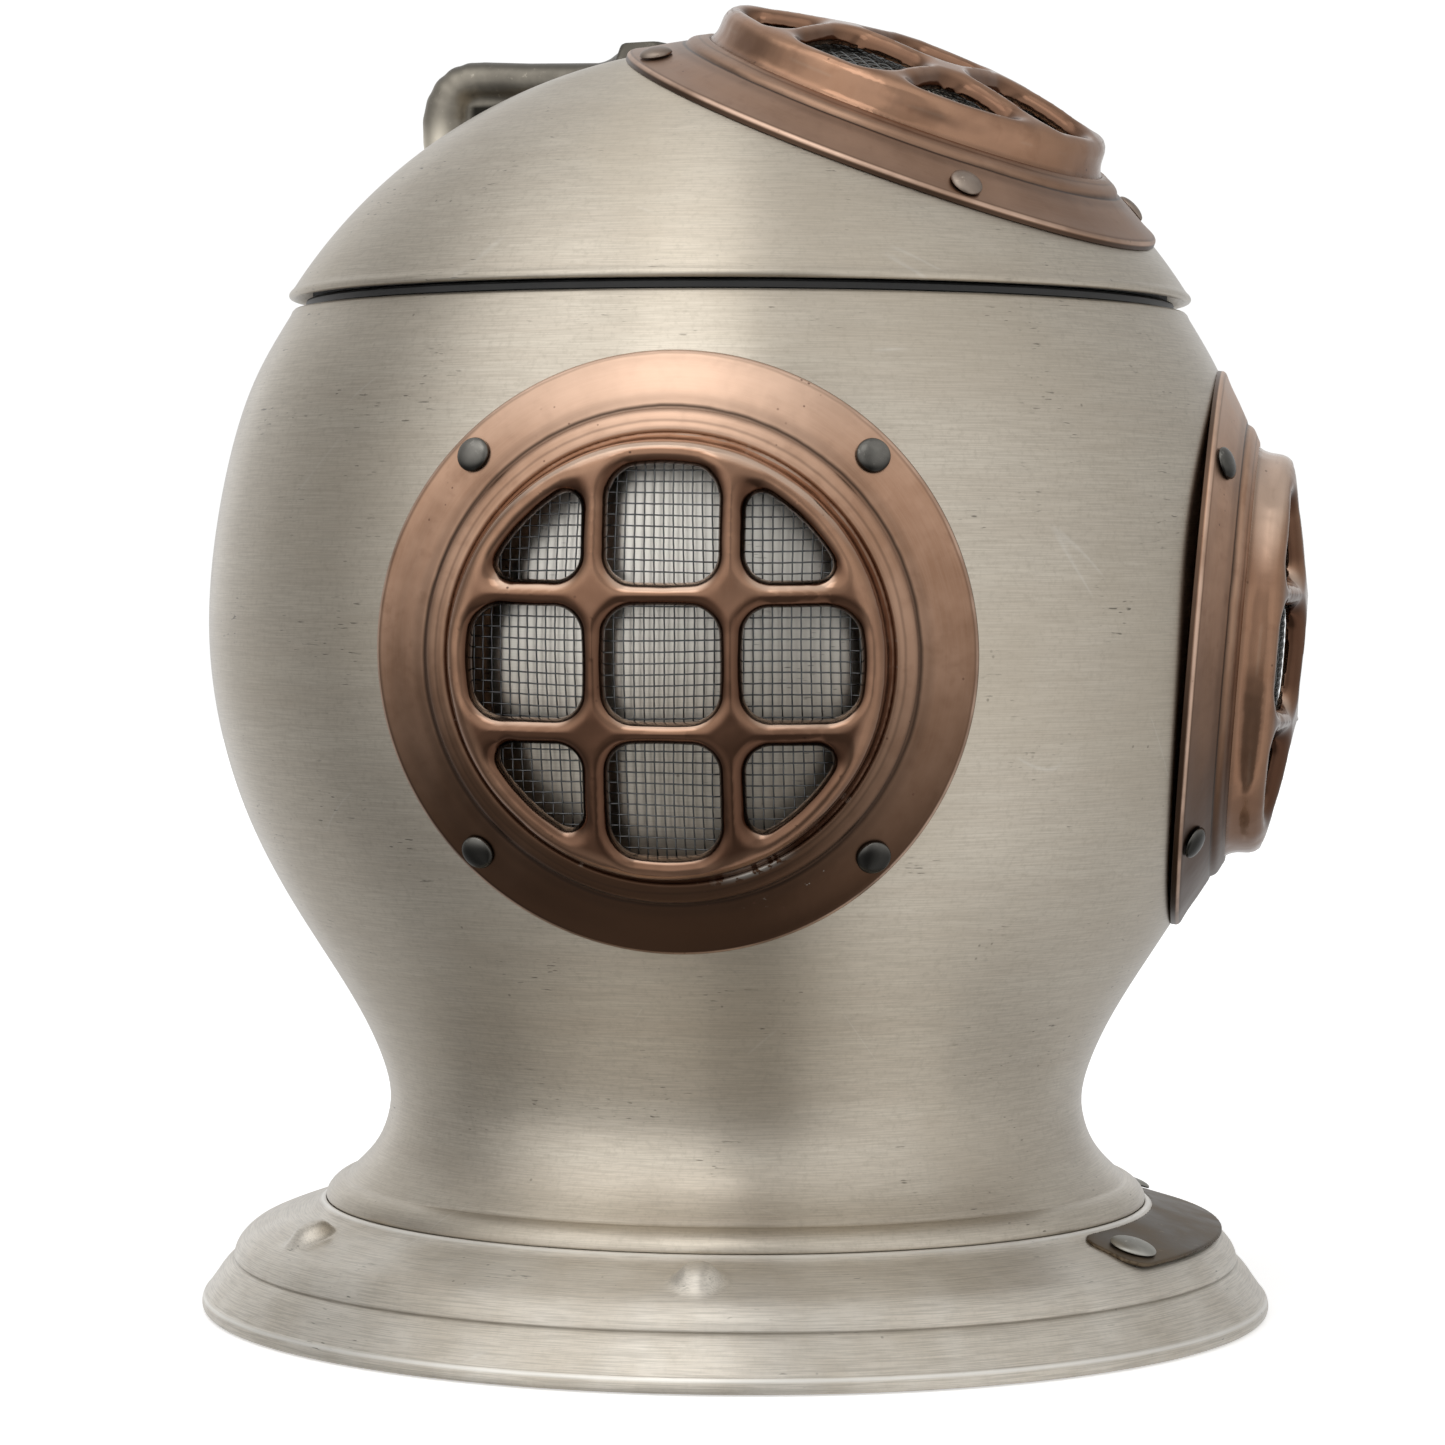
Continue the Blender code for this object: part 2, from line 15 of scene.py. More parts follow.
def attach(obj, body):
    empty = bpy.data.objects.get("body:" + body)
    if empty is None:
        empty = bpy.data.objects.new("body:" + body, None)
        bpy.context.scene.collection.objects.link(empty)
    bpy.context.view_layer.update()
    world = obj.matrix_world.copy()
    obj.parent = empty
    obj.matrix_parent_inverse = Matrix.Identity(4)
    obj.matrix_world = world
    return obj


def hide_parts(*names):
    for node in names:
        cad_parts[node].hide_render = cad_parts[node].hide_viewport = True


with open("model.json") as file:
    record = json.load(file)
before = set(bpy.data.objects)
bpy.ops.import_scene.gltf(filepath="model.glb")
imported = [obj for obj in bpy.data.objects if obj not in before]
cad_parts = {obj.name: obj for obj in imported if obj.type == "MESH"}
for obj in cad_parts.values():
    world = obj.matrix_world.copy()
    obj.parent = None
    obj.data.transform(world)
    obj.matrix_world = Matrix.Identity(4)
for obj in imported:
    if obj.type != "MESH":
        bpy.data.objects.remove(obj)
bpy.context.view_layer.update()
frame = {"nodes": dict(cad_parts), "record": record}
NODES = frame["nodes"]

MM = 0.001
ROUND = 320                     # facets round the large turned pieces
WINDOW_ROUND = 256

BASE_TURN = math.radians(2.8)
LID_TURN = math.radians(-22.5)
LID_TILT = math.radians(22.0)
LID_RADIUS = 95.6
LID_CENTRE = 132.1
LID_OUT = 82.6                  # from the lid sphere's centre to the rim plane of its window
WINDOW_HEIGHT = 119.7
WINDOW_OUT = 83.5
WINDOW_DIP = math.radians(4.3)
PLACE = "place_in_piece"        # each point's place in its piece's own frame, in metres

WALL = 1.2

WINDOWS = {                     # azimuth from the front towards +X, or None on the lid
    "front_window": math.radians(0.0),
    "right_window": math.radians(-90.0),
    "left_window": math.radians(90.0),
    "lid_window": None,
}


# ---------------------------------------------------------------- outlines and meshes

def spline(knots, count):
    """Natural cubic spline through knots, sampled evenly along its chords."""
    knots = np.array(knots, float)
    gaps = np.linalg.norm(np.diff(knots, axis=0), axis=1)
    at = np.concatenate(([0.0], np.cumsum(gaps)))
    size = len(knots)
    system, right = np.eye(size), np.zeros((size, 2))
    for k in range(1, size - 1):
        system[k, k - 1:k + 2] = gaps[k - 1], 2 * (gaps[k - 1] + gaps[k]), gaps[k]
        right[k] = 6 * ((knots[k + 1] - knots[k]) / gaps[k] - (knots[k] - knots[k - 1]) / gaps[k - 1])
    bend = np.linalg.solve(system, right)
    where = np.linspace(0.0, at[-1], count)
    span = np.clip(np.searchsorted(at, where, side="right") - 1, 0, size - 2)
    gap = gaps[span][:, None]
    b = (where - at[span])[:, None] / gap
    a = 1 - b
    curved = (a ** 3 - a) * bend[span] + (b ** 3 - b) * bend[span + 1]
    points = a * knots[span] + b * knots[span + 1] + curved * gap * gap / 6
    return [tuple(point) for point in points]


def offset(points, distance):
    """A path moved sideways by a distance, to the right of its direction."""
    points = np.array(points, float)
    along = np.gradient(points, axis=0)
    along /= np.linalg.norm(along, axis=1)[:, None]
    return [tuple(p) for p in points + distance * np.stack([along[:, 1], -along[:, 0]], 1)]


def cap_arc(radius, centre, start, end, count):
    """Points on a circle centred on the axis, by angle from straight up."""
    angles = np.linspace(start, end, count)
    return [(radius * math.sin(a), centre + radius * math.cos(a)) for a in angles]


def add_mesh(name, points, faces, material=None, matrix=Matrix(), sharp=40.0):
    """A smooth-shaded object from points in millimetres in the frame of a matrix, normals outwards.

    The object itself stays at the origin.  Its mesh keeps the points' own places as PLACE.
    """
    local = np.asarray(points, float)
    turn = np.array(matrix, float)
    points = local @ turn[:3, :3].T + turn[:3, 3]
    triangle = np.array([(f[0], f[1], f[2]) for f in faces] + [(f[0], f[2], f[3]) for f in faces
                                                               if len(f) == 4])
    a, b, c = (points[triangle[:, k]] for k in range(3))
    if np.einsum("ij,ij->i", a, np.cross(b, c)).sum() < 0:
        faces = [tuple(reversed(f)) for f in faces]
    data = bpy.data.meshes.new(name)
    data.from_pydata((points * MM).tolist(), [], faces)
    data.shade_smooth()
    if sharp:
        data.set_sharp_from_angle(angle=math.radians(sharp))
    if material:
        data.materials.append(material)
    place = data.attributes.new(PLACE, "FLOAT_VECTOR", "POINT")
    place.data.foreach_set("vector", (local * MM).ravel())
    return add_object(name, data)


def add_object(name, data, matrix=Matrix()):
    """Link an object at a matrix whose place is in millimetres."""
    thing = bpy.data.objects.new(name, data)
    bpy.context.scene.collection.objects.link(thing)
    matrix = matrix.copy()
    matrix.translation *= MM
    thing.matrix_world = matrix
    return thing


def turned(outline, steps=ROUND):
    """Points and faces of a closed outline turned round the axis."""
    points, rings = [], []
    angles = np.arange(steps) * math.tau / steps
    for radius, height in outline:
        if radius < 1e-6:
            rings.append([len(points)] * steps)
            points.append((0.0, 0.0, height))
        else:
            rings.append(list(range(len(points), len(points) + steps)))
            points.extend(zip(radius * np.cos(angles), radius * np.sin(angles), [height] * steps))
    faces = []
    for ring, after in zip(rings, rings[1:] + rings[:1]):
        if ring[0] == ring[1] and after[0] == after[1]:
            continue
        for k in range(steps):
            corners = (ring[k], ring[(k + 1) % steps], after[(k + 1) % steps], after[k])
            faces.append(tuple(dict.fromkeys(corners)))
    return np.array(points), faces


def sheet(outer, thickness):
    """The closed outline of a sheet whose outer face is a path that runs from the top down."""
    return outer + offset(outer, thickness)[::-1]


# ---------------------------------------------------------------- solids from distance fields

def polygon_distance(polygon, radius, height):
    """Signed distance from points (radius, height) to a closed outline, negative inside."""
    polygon = np.array(polygon, float)
    best = np.full(radius.shape, np.inf)
    inside = np.zeros(radius.shape, bool)
    for (x0, y0), (x1, y1) in zip(polygon, np.roll(polygon, -1, axis=0)):
        dx, dy = x1 - x0, y1 - y0
        t = np.clip(((radius - x0) * dx + (height - y0) * dy) / (dx * dx + dy * dy), 0, 1)
        best = np.minimum(best, np.hypot(radius - x0 - t * dx, height - y0 - t * dy))
        if dy:
            crosses = (y0 > height) != (y1 > height)
            inside ^= crosses & (radius < x0 + (height - y0) / dy * dx)
    return np.where(inside, -best, best)


def round_max(a, b, radius):
    """The overlap of two solids with the edge between them rounded."""
    corner = np.hypot(np.maximum(radius + a, 0), np.maximum(radius + b, 0))
    return np.minimum(-radius, np.maximum(a, b)) + corner


def smooth_min(a, b, blend):
    """Two solids joined with a soft fillet."""
    share = np.clip(0.5 + 0.5 * (b - a) / blend, 0, 1)
    return b * (1 - share) + a * share - blend * share * (1 - share)


def net(field, low, high, step):
    """Points and quads of the surface where a field is nought, by naive surface nets."""
    axes = [np.arange(low[k], high[k] + step, step) for k in range(3)]
    grid = np.meshgrid(*axes, indexing="ij")
    value = field(*grid)
    shape = np.array(value.shape)
    strides = np.array([shape[1] * shape[2], shape[2], 1])
    owners, places, quads = [], [], []
    for axis in range(3):
        front = [slice(None)] * 3
        back = [slice(None)] * 3
        front[axis], back[axis] = slice(0, -1), slice(1, None)
        a, b = value[tuple(front)], value[tuple(back)]
        crossing = np.argwhere((a < 0) != (b < 0))
        first, second = a[tuple(crossing.T)], b[tuple(crossing.T)]
        place = crossing.astype(float)
        place[:, axis] += first / (first - second)
        u, v = (axis + 1) % 3, (axis + 2) % 3
        corners = []
        for du, dv in ((0, 0), (-1, 0), (-1, -1), (0, -1)):
            cell = crossing.copy()
            cell[:, u] += du
            cell[:, v] += dv
            corners.append(cell @ strides)
            owners.append(corners[-1])
            places.append(place)
        quad = np.stack(corners, 1)
        quad[first > 0] = quad[first > 0][:, ::-1]
        quads.append(quad)
    owners, places, quads = np.concatenate(owners), np.concatenate(places), np.concatenate(quads)
    cells, member = np.unique(owners, return_inverse=True)
    count = np.bincount(member)
    points = np.stack([np.bincount(member, places[:, k]) / count for k in range(3)], 1)
    points = points * step + np.array(low)
    for _ in range(2):                      # move the points onto the surface itself
        here = field(*points.T)
        probe = step * 0.25
        slopes = []
        for k in range(3):
            moved = points.copy()
            moved[:, k] += probe
            slopes.append((field(*moved.T) - here) / probe)
        slopes = np.stack(slopes, 1)
        length = np.maximum((slopes ** 2).sum(1), 0.25)
        points -= np.clip(here / length, -step / 2, step / 2)[:, None] * slopes
    faces = [tuple(face) for face in np.searchsorted(cells, quads).tolist()]
    return points, faces


# ---------------------------------------------------------------- materials

class Paint:
    """A procedural material while its nodes are being wired."""

    def __init__(self, name):
        self.material = bpy.data.materials.new(name)
        self.material.use_nodes = True
        self.tree = self.material.node_tree
        self.shader = self.tree.nodes["Principled BSDF"]

    def add(self, kind, inputs=None, **settings):
        node = self.tree.nodes.new("ShaderNode" + kind)
        for key, value in settings.items():
            setattr(node, key, value)
        for key, value in (inputs or {}).items():
            self.feed(node.inputs[key], value)
        return node

    def feed(self, socket, value):
        if isinstance(value, bpy.types.NodeSocket):
            self.tree.links.new(value, socket)
        elif isinstance(value, tuple) and len(value) == 3 and socket.type == "RGBA":
            socket.default_value = (*value, 1.0)
        else:
            socket.default_value = value

    def set(self, **values):
        for key, value in values.items():
            self.feed(self.shader.inputs[key.replace("_", " ")], value)

    def calc(self, operation, a, b=0.0, c=0.0):
        node = self.add("Math", operation=operation)
        for socket, value in zip(node.inputs, (a, b, c)):
            self.feed(socket, value)
        return node.outputs[0]

    def place(self, own_frame=False):
        """Coordinates in metres, as a vector and as x, y and z: the helmet's, or the piece's own."""
        if own_frame:
            vector = self.add("Attribute", attribute_name=PLACE).outputs["Vector"]
        else:
            vector = self.add("TexCoord").outputs["Object"]
        parts = self.add("SeparateXYZ", {"Vector": vector}).outputs
        return vector, parts[0], parts[1], parts[2]

    def facing_up(self):
        """How far the surface faces up, from -1 to 1."""
        return self.add("SeparateXYZ", {"Vector": self.add("NewGeometry").outputs["Normal"]}).outputs[2]

    def times(self, a, b):
        return self.calc("MULTIPLY", a, b)

    def length(self, a, b):
        return self.calc("SQRT", self.calc("ADD", self.times(a, a), self.times(b, b)))

    def join(self, x, y, z):
        return self.add("CombineXYZ", {"X": x, "Y": y, "Z": z}).outputs[0]

    def noise(self, vector, scale, detail=2.0, roughness=0.5, w=None, distortion=0.0):
        node = self.add("TexNoise", {"Vector": vector, "Scale": scale, "Detail": detail,
                                     "Roughness": roughness, "Distortion": distortion},
                        noise_dimensions="3D" if w is None else "4D")
        if w is not None:
            self.feed(node.inputs["W"], w)
        return node.outputs["Fac"]

    def fit(self, value, low, high, to_low=0.0, to_high=1.0):
        """Value from low to high, as a smooth step from to_low to to_high."""
        node = self.add("MapRange", {"Value": value, "From Min": low, "From Max": high,
                                     "To Min": to_low, "To Max": to_high},
                        interpolation_type="SMOOTHSTEP")
        return node.outputs["Result"]

    def line(self, value, middle, half_width):
        """One at a value, falling to nought on both sides."""
        away = self.calc("ABSOLUTE", self.calc("SUBTRACT", value, middle))
        return self.fit(away, 0.0, half_width, 1.0, 0.0)

    def mix(self, share, first, second, blend="MIX"):
        node = self.add("Mix", data_type="RGBA", blend_type=blend)
        self.feed(node.inputs[0], share)
        self.feed(node.inputs[6], first)
        self.feed(node.inputs[7], second)
        return node.outputs[2]

    def specks(self, vector, scale, near, far, patches, low, high):
        """Small round spots, from near to far across their edges, only where patches are dense."""
        spot = self.add("TexVoronoi", {"Vector": vector, "Scale": scale}).outputs["Distance"]
        return self.times(self.fit(spot, near, far, 1.0, 0.0),
                          self.fit(self.noise(vector, patches, 2.0), low, high))

    def bump(self, height, strength, distance_mm, normal=None):
        node = self.add("Bump", {"Height": height, "Strength": strength,
                                 "Distance": distance_mm * MM})
        if normal is not None:
            self.feed(node.inputs["Normal"], normal)
        return node.outputs["Normal"]

    def rings(self, x, y):
        """Distance from the axis, and the direction from it as east and north."""
        radius = self.length(x, y)
        safe = self.calc("MAXIMUM", radius, 0.0001)
        return radius, self.calc("DIVIDE", x, safe), self.calc("DIVIDE", y, safe)

    def brush(self, radius, east, north, z, width_mm, length_mm, detail=2.0, phase=0.0):
        """Noise in streaks round the axis, of a width across them and a length along them."""
        fine = 1.0 / (width_mm * MM)
        along = 80.0 / length_mm
        vector = self.join(self.times(radius, fine), self.times(z, fine),
                           self.calc("MULTIPLY_ADD", east, along, phase))
        return self.noise(vector, 1.0, detail, 0.6, w=self.times(north, along))


# places on the aluminium, in metres
CREASE_HIGHLIGHT = (0.0751, 0.0007)      # radius and half width of the painted highlight line at the body's foot
RIM_HIGHLIGHT = (0.0023, 0.0006)         # height and half width of the painted highlight line on the base's rim
STEP_GROOVE = (0.0091, 0.0004)      # height and half width of the painted shade line in the groove over the base's step
SCREEN_EDGE = (0.034, 0.037)        # radii between which the painted light on the sheet behind a window fades out


def aluminium(name, rough_low=0.31, rough_high=0.38, metallic=1.0):
    """Spun aluminium, brushed round its axis and worn; less than metallic for the oxidised base."""
    p = Paint(name)
    vector, x, y, z = p.place()
    radius, east, north = p.rings(x, y)
    fine = p.brush(radius, east, north, z, 0.15, 7.0, 2.0)
    medium = p.brush(radius, east, north, z, 0.42, 16.0, 2.0, 7.0)
    grain = p.noise(vector, 900.0, 3.0, 0.7)
    broad = p.brush(radius, east, north, z, 4.0, 90.0, 2.0, 13.0)
    cloud = p.noise(vector, 22.0, 3.0, 0.55)
    patch = p.noise(vector, 60.0, 4.0, 0.6)

    tone = p.mix(p.fit(broad, 0.3, 0.7), (0.57, 0.508, 0.422), (0.61, 0.552, 0.462))
    tone = p.mix(p.fit(medium, 0.35, 0.65, 0.0, 0.18), tone, (0.70, 0.645, 0.56))
    tone = p.mix(p.fit(fine, 0.36, 0.64, 0.0, 0.50), tone, (0.41, 0.366, 0.302))
    tone = p.mix(p.fit(grain, 0.45, 0.75, 0.0, 0.35), tone, (0.38, 0.34, 0.275))
    tone = p.mix(p.fit(cloud, 0.45, 0.7, 0.0, 0.35), tone, (0.53, 0.462, 0.365))
    if metallic < 1.0:
        tone = p.mix(p.fit(patch, 0.3, 0.7, 0.15, 0.55), tone, (0.79, 0.755, 0.69))
        tone = p.mix(p.fit(fine, 0.45, 0.62, 0.0, 0.35), tone, (0.36, 0.33, 0.28))
        # painted highlights: bright lines on the fillet under the body's bead and on the base's rim
        edges = p.calc("MAXIMUM", p.line(radius, *CREASE_HIGHLIGHT), p.line(z, *RIM_HIGHLIGHT))
        tone = p.mix(p.times(edges, 0.7), tone, (0.93, 0.91, 0.86))
        # painted shade in the groove over the base's step
        tone = p.mix(p.times(p.line(z, *STEP_GROOVE), 0.5), tone, (0.22, 0.20, 0.17))

    # painted light: the sheet behind the windows' mesh is painted lighter, less so low down, where it is
    # left darker as painted shade
    up = p.calc("SUBTRACT", z, WINDOW_HEIGHT * MM)
    side, front = (p.fit(p.length(across, up), *SCREEN_EDGE, 1.0, 0.0) for across in (y, x))
    behind = p.calc("MAXIMUM", side, p.times(front, p.fit(y, -0.05, -0.04, 1.0, 0.0)))
    tone = p.mix(p.times(behind, p.fit(up, -0.020, 0.016, 0.15, 0.85)), tone, (0.86, 0.83, 0.77))

    # pits: short dark dashes that lie along the brushing, in loose groups
    dash = p.brush(radius, east, north, z, 0.40, 2.6, 1.0, 31.0)
    pits = p.times(p.fit(dash, 0.66, 0.72), p.fit(patch, 0.52, 0.66))
    tone = p.mix(p.times(pits, 0.75), tone, (0.12, 0.11, 0.09))
    speck = p.specks(vector, 300.0, 0.05, 0.10, 45.0, 0.54, 0.64)
    tone = p.mix(p.times(speck, 0.55), tone, (0.18, 0.16, 0.13))

    # hair scratches: thin bright arcs that cross the brushing here and there
    for turn, scale, shift in ((0.7, 34.0, 0.0), (-1.1, 27.0, 5.0)):
        leaning = p.add("Mapping", {"Vector": vector, "Rotation": (turn, 0.5 * turn, turn)}).outputs[0]
        wave = p.noise(p.add("VectorMath", {0: leaning, 1: (scale, scale * 0.12, scale * 0.12)},
                             operation="MULTIPLY").outputs[0], 1.0, 1.0, w=shift, distortion=0.3)
        hair = p.line(wave, 0.5, 0.0025)
        some = p.fit(p.noise(vector, 42.0, 1.0, w=shift + 2.0), 0.62, 0.67)
        scratch = p.times(p.times(hair, some), 0.15)
        tone = p.mix(scratch, tone, (0.84, 0.83, 0.79))

    rough = p.fit(cloud, 0.35, 0.7, rough_low, rough_high)
    p.set(Base_Color=tone, Metallic=metallic, Roughness=rough)
    p.set(Anisotropic=0.9, Anisotropic_Rotation=0.25)
    tangent = p.add("Tangent", direction_type="RADIAL", axis="Z")
    p.set(Tangent=tangent.outputs[0])
    normal = p.bump(fine, 0.32, 0.02)
    normal = p.bump(medium, 0.22, 0.03, normal)
    normal = p.bump(p.calc("SUBTRACT", 1.0, pits), 0.5, 0.05, normal)
    p.set(Normal=p.bump(cloud, 0.2, 0.5, normal))
    return p.material


def copper_base(p, vector):
    """Patina of antiqued copper: its colour, and a slow and a fine noise."""
    cloud = p.noise(vector, 45.0, 4.0, 0.6)
    fine = p.noise(vector, 260.0, 3.0, 0.6)
    tone = p.mix(p.fit(cloud, 0.35, 0.65), (0.40, 0.230, 0.146), (0.57, 0.356, 0.244))
    tone = p.mix(p.fit(fine, 0.50, 0.75, 0.0, 0.35), tone, (0.29, 0.155, 0.095))
    return tone, cloud, fine


def painted_low_shade(p, y, cloud):
    """One low on a window, falling to nought high up: the share of painted shade that darkens the lower
    part.
    """
    drift = p.calc("MULTIPLY_ADD", cloud, 0.02, -0.01)
    return p.fit(p.calc("ADD", y, drift), -0.044, 0.046, 1.0, 0.0)


# (radius, half width, share) of the dark lines that run round a flange at its grooves and crease, in
# metres: dark patina with painted shade
FLANGE_LINES = [(0.0409, 0.0006, 0.9), (0.0368, 0.0005, 0.3), (0.0387, 0.0004, 0.35),
                (0.0493, 0.0004, 0.35), (0.0421, 0.0016, 0.25)]
# (angle, radius, half width, least crumb) of two patches of white residue low on a flange
RESIDUES = [(-68.0, 0.0371, 0.0012, 0.42), (-62.0, 0.0430, 0.0011, 0.60)]


def copper_flange(name, upright=True):
    """Riveted flange: brushed slope, dark grooves, a little white deposit in the crease; upright, it is
    paler towards its top as painted highlight and darker low down as painted shade.
    """
    p = Paint(name)
    vector, x, y, z = p.place(own_frame=True)
    radius, east, north = p.rings(x, y)
    tone, cloud, fine = copper_base(p, vector)
    brush = p.brush(radius, east, north, z, 0.35, 12.0, 2.0)
    tone = p.mix(p.fit(brush, 0.35, 0.65, 0.0, 0.15), tone, (0.60, 0.40, 0.29))
    if upright:
        # painted highlight: an upright flange is painted paler towards its top
        tone = p.mix(p.fit(y, 0.026, 0.048, 0.0, 0.45), tone, (0.80, 0.60, 0.47))
        # painted shade low on an upright flange
        tone = p.mix(painted_low_shade(p, y, cloud), tone, (0.080, 0.043, 0.026))
    else:
        tone = p.mix(0.55, tone, (0.155, 0.10, 0.070))
    wobble = p.times(p.calc("SUBTRACT", cloud, 0.5), 0.0010)
    worn = p.calc("ADD", radius, wobble)
    for middle, half, share in FLANGE_LINES:
        tone = p.mix(p.times(p.line(worn, middle, half), share), tone, (0.045, 0.028, 0.02))
    rim = p.fit(radius, 0.0493, 0.0496)
    bare = p.times(p.times(rim, p.fit(z, 0.0, 0.0002)), p.fit(cloud, 0.4, 0.6, 0.3, 0.8))
    tone = p.mix(bare, tone, (0.68, 0.48, 0.37))
    shaded = p.times(rim, p.fit(z, 0.0001, -0.0002, 0.0, 0.85))
    tone = p.mix(shaded, tone, (0.05, 0.03, 0.02))
    crumbs = p.noise(vector, 420.0, 3.0, 0.7)
    deposit = p.times(p.fit(crumbs, 0.60, 0.70, 0.0, 0.7), p.line(radius, 0.0369, 0.0006))
    angle = p.calc("ARCTAN2", y, x)
    for turn, middle, half_width, least in RESIDUES:
        near = p.line(angle, math.radians(turn), math.radians(14.0))
        residue = p.times(near, p.line(radius, middle, half_width))
        residue = p.times(residue, p.fit(crumbs, least, least + 0.06))
        deposit = p.calc("MAXIMUM", deposit, residue)
    tone = p.mix(p.times(deposit, 0.75), tone, (0.60, 0.58, 0.53))
    speck = p.specks(vector, 420.0, 0.06, 0.12, 70.0, 0.56, 0.64)
    tone = p.mix(p.times(speck, 0.7), tone, (0.10, 0.05, 0.035))
    p.set(Base_Color=tone, Metallic=1.0, Roughness=p.fit(cloud, 0.3, 0.7, 0.30, 0.42))
    normal = p.bump(brush, 0.2, 0.02)
    normal = p.bump(fine, 0.2, 0.04, normal)
    p.set(Normal=p.bump(cloud, 0.5, 0.5, normal))
    return p.material


def copper_grille(name, upright=True):
    """Drawn grille: dark patina in its hollows; on an upright window, a painted highlight where it faces
    up and nearly black brown painted shade where it faces down and on its lower part; painted shade on
    its barrel, at its foot and deep in its openings.
    """
    p = Paint(name)
    vector, x, y, z = p.place(own_frame=True)
    radius = p.length(x, y)
    tone, cloud, fine = copper_base(p, vector)
    dome = p.calc("MULTIPLY_ADD", p.times(radius, radius), -4.0, 0.0192)
    depth = p.calc("SUBTRACT", dome, z)
    depth = p.calc("ADD", depth, p.times(p.calc("SUBTRACT", cloud, 0.5), 0.0010))
    inner = p.fit(radius, 0.0325, 0.034, 1.0, 0.0)
    recess = p.times(p.fit(depth, -0.0001, 0.0012), inner)
    tone = p.mix(p.fit(cloud, 0.40, 0.62, 0.25, 0.75), tone, (0.20, 0.102, 0.06))
    if upright:
        rise = p.facing_up()
        drift = p.calc("MULTIPLY_ADD", cloud, 0.5, -0.25)
        under = p.fit(p.calc("ADD", rise, drift), -0.20, 0.30, 0.85, 0.0)
        # painted highlight: paler where the grille faces up
        tone = p.mix(p.fit(rise, 0.30, 0.75, 0.0, 0.65), tone, (0.86, 0.66, 0.52))
        # painted shade: near black brown where the grille faces down
        tone = p.mix(p.times(under, inner), tone, (0.115, 0.056, 0.034))
        # painted shade low on the window
        tone = p.mix(p.times(painted_low_shade(p, y, cloud), 0.45), tone, (0.085, 0.042, 0.026))
    else:
        rise = 0.0
    # dark patina in the hollows, weaker where the surface faces up as painted highlight
    recess = p.times(recess, p.fit(rise, 0.1, 0.6, 0.65, 0.15))
    tone = p.mix(recess, tone, (0.055, 0.025, 0.015))
    rim = p.line(depth, 0.0030, 0.0005)
    chips = p.fit(p.noise(vector, 150.0, 3.0), 0.50, 0.62)
    tone = p.mix(p.times(p.times(rim, chips), 0.25), tone, (0.42, 0.30, 0.22))
    # painted shade on the cup's upright barrel
    barrel = p.times(p.fit(z, 0.0135, 0.0100, 0.0, 1.0), p.calc("SUBTRACT", 1.0, inner))
    tone = p.mix(p.times(barrel, 0.15), tone, (0.16, 0.08, 0.052))
    # painted shade at the cup's foot, in the crease against the flange
    foot = p.fit(z, 0.0086, 0.0078, 0.0, 0.35)
    tone = p.mix(foot, tone, (0.08, 0.048, 0.032))
    # painted shade deep inside the openings
    inside = p.times(p.fit(radius, 0.0352, 0.0355, 1.0, 0.0), p.fit(depth, 0.0036, 0.0046))
    tone = p.mix(p.times(inside, 0.9), tone, (0.03, 0.022, 0.018))
    speck = p.specks(vector, 330.0, 0.05, 0.11, 80.0, 0.52, 0.60)
    tone = p.mix(p.times(speck, 0.8), tone, (0.06, 0.03, 0.02))
    p.set(Base_Color=tone, Metallic=1.0, Roughness=p.fit(cloud, 0.3, 0.7, 0.11, 0.19))
    normal = p.bump(fine, 0.12, 0.04)
    normal = p.bump(cloud, 0.35, 0.6, normal)
    p.set(Normal=p.bump(p.noise(vector, 140.0, 1.0), 0.4, 0.9, normal))
    return p.material


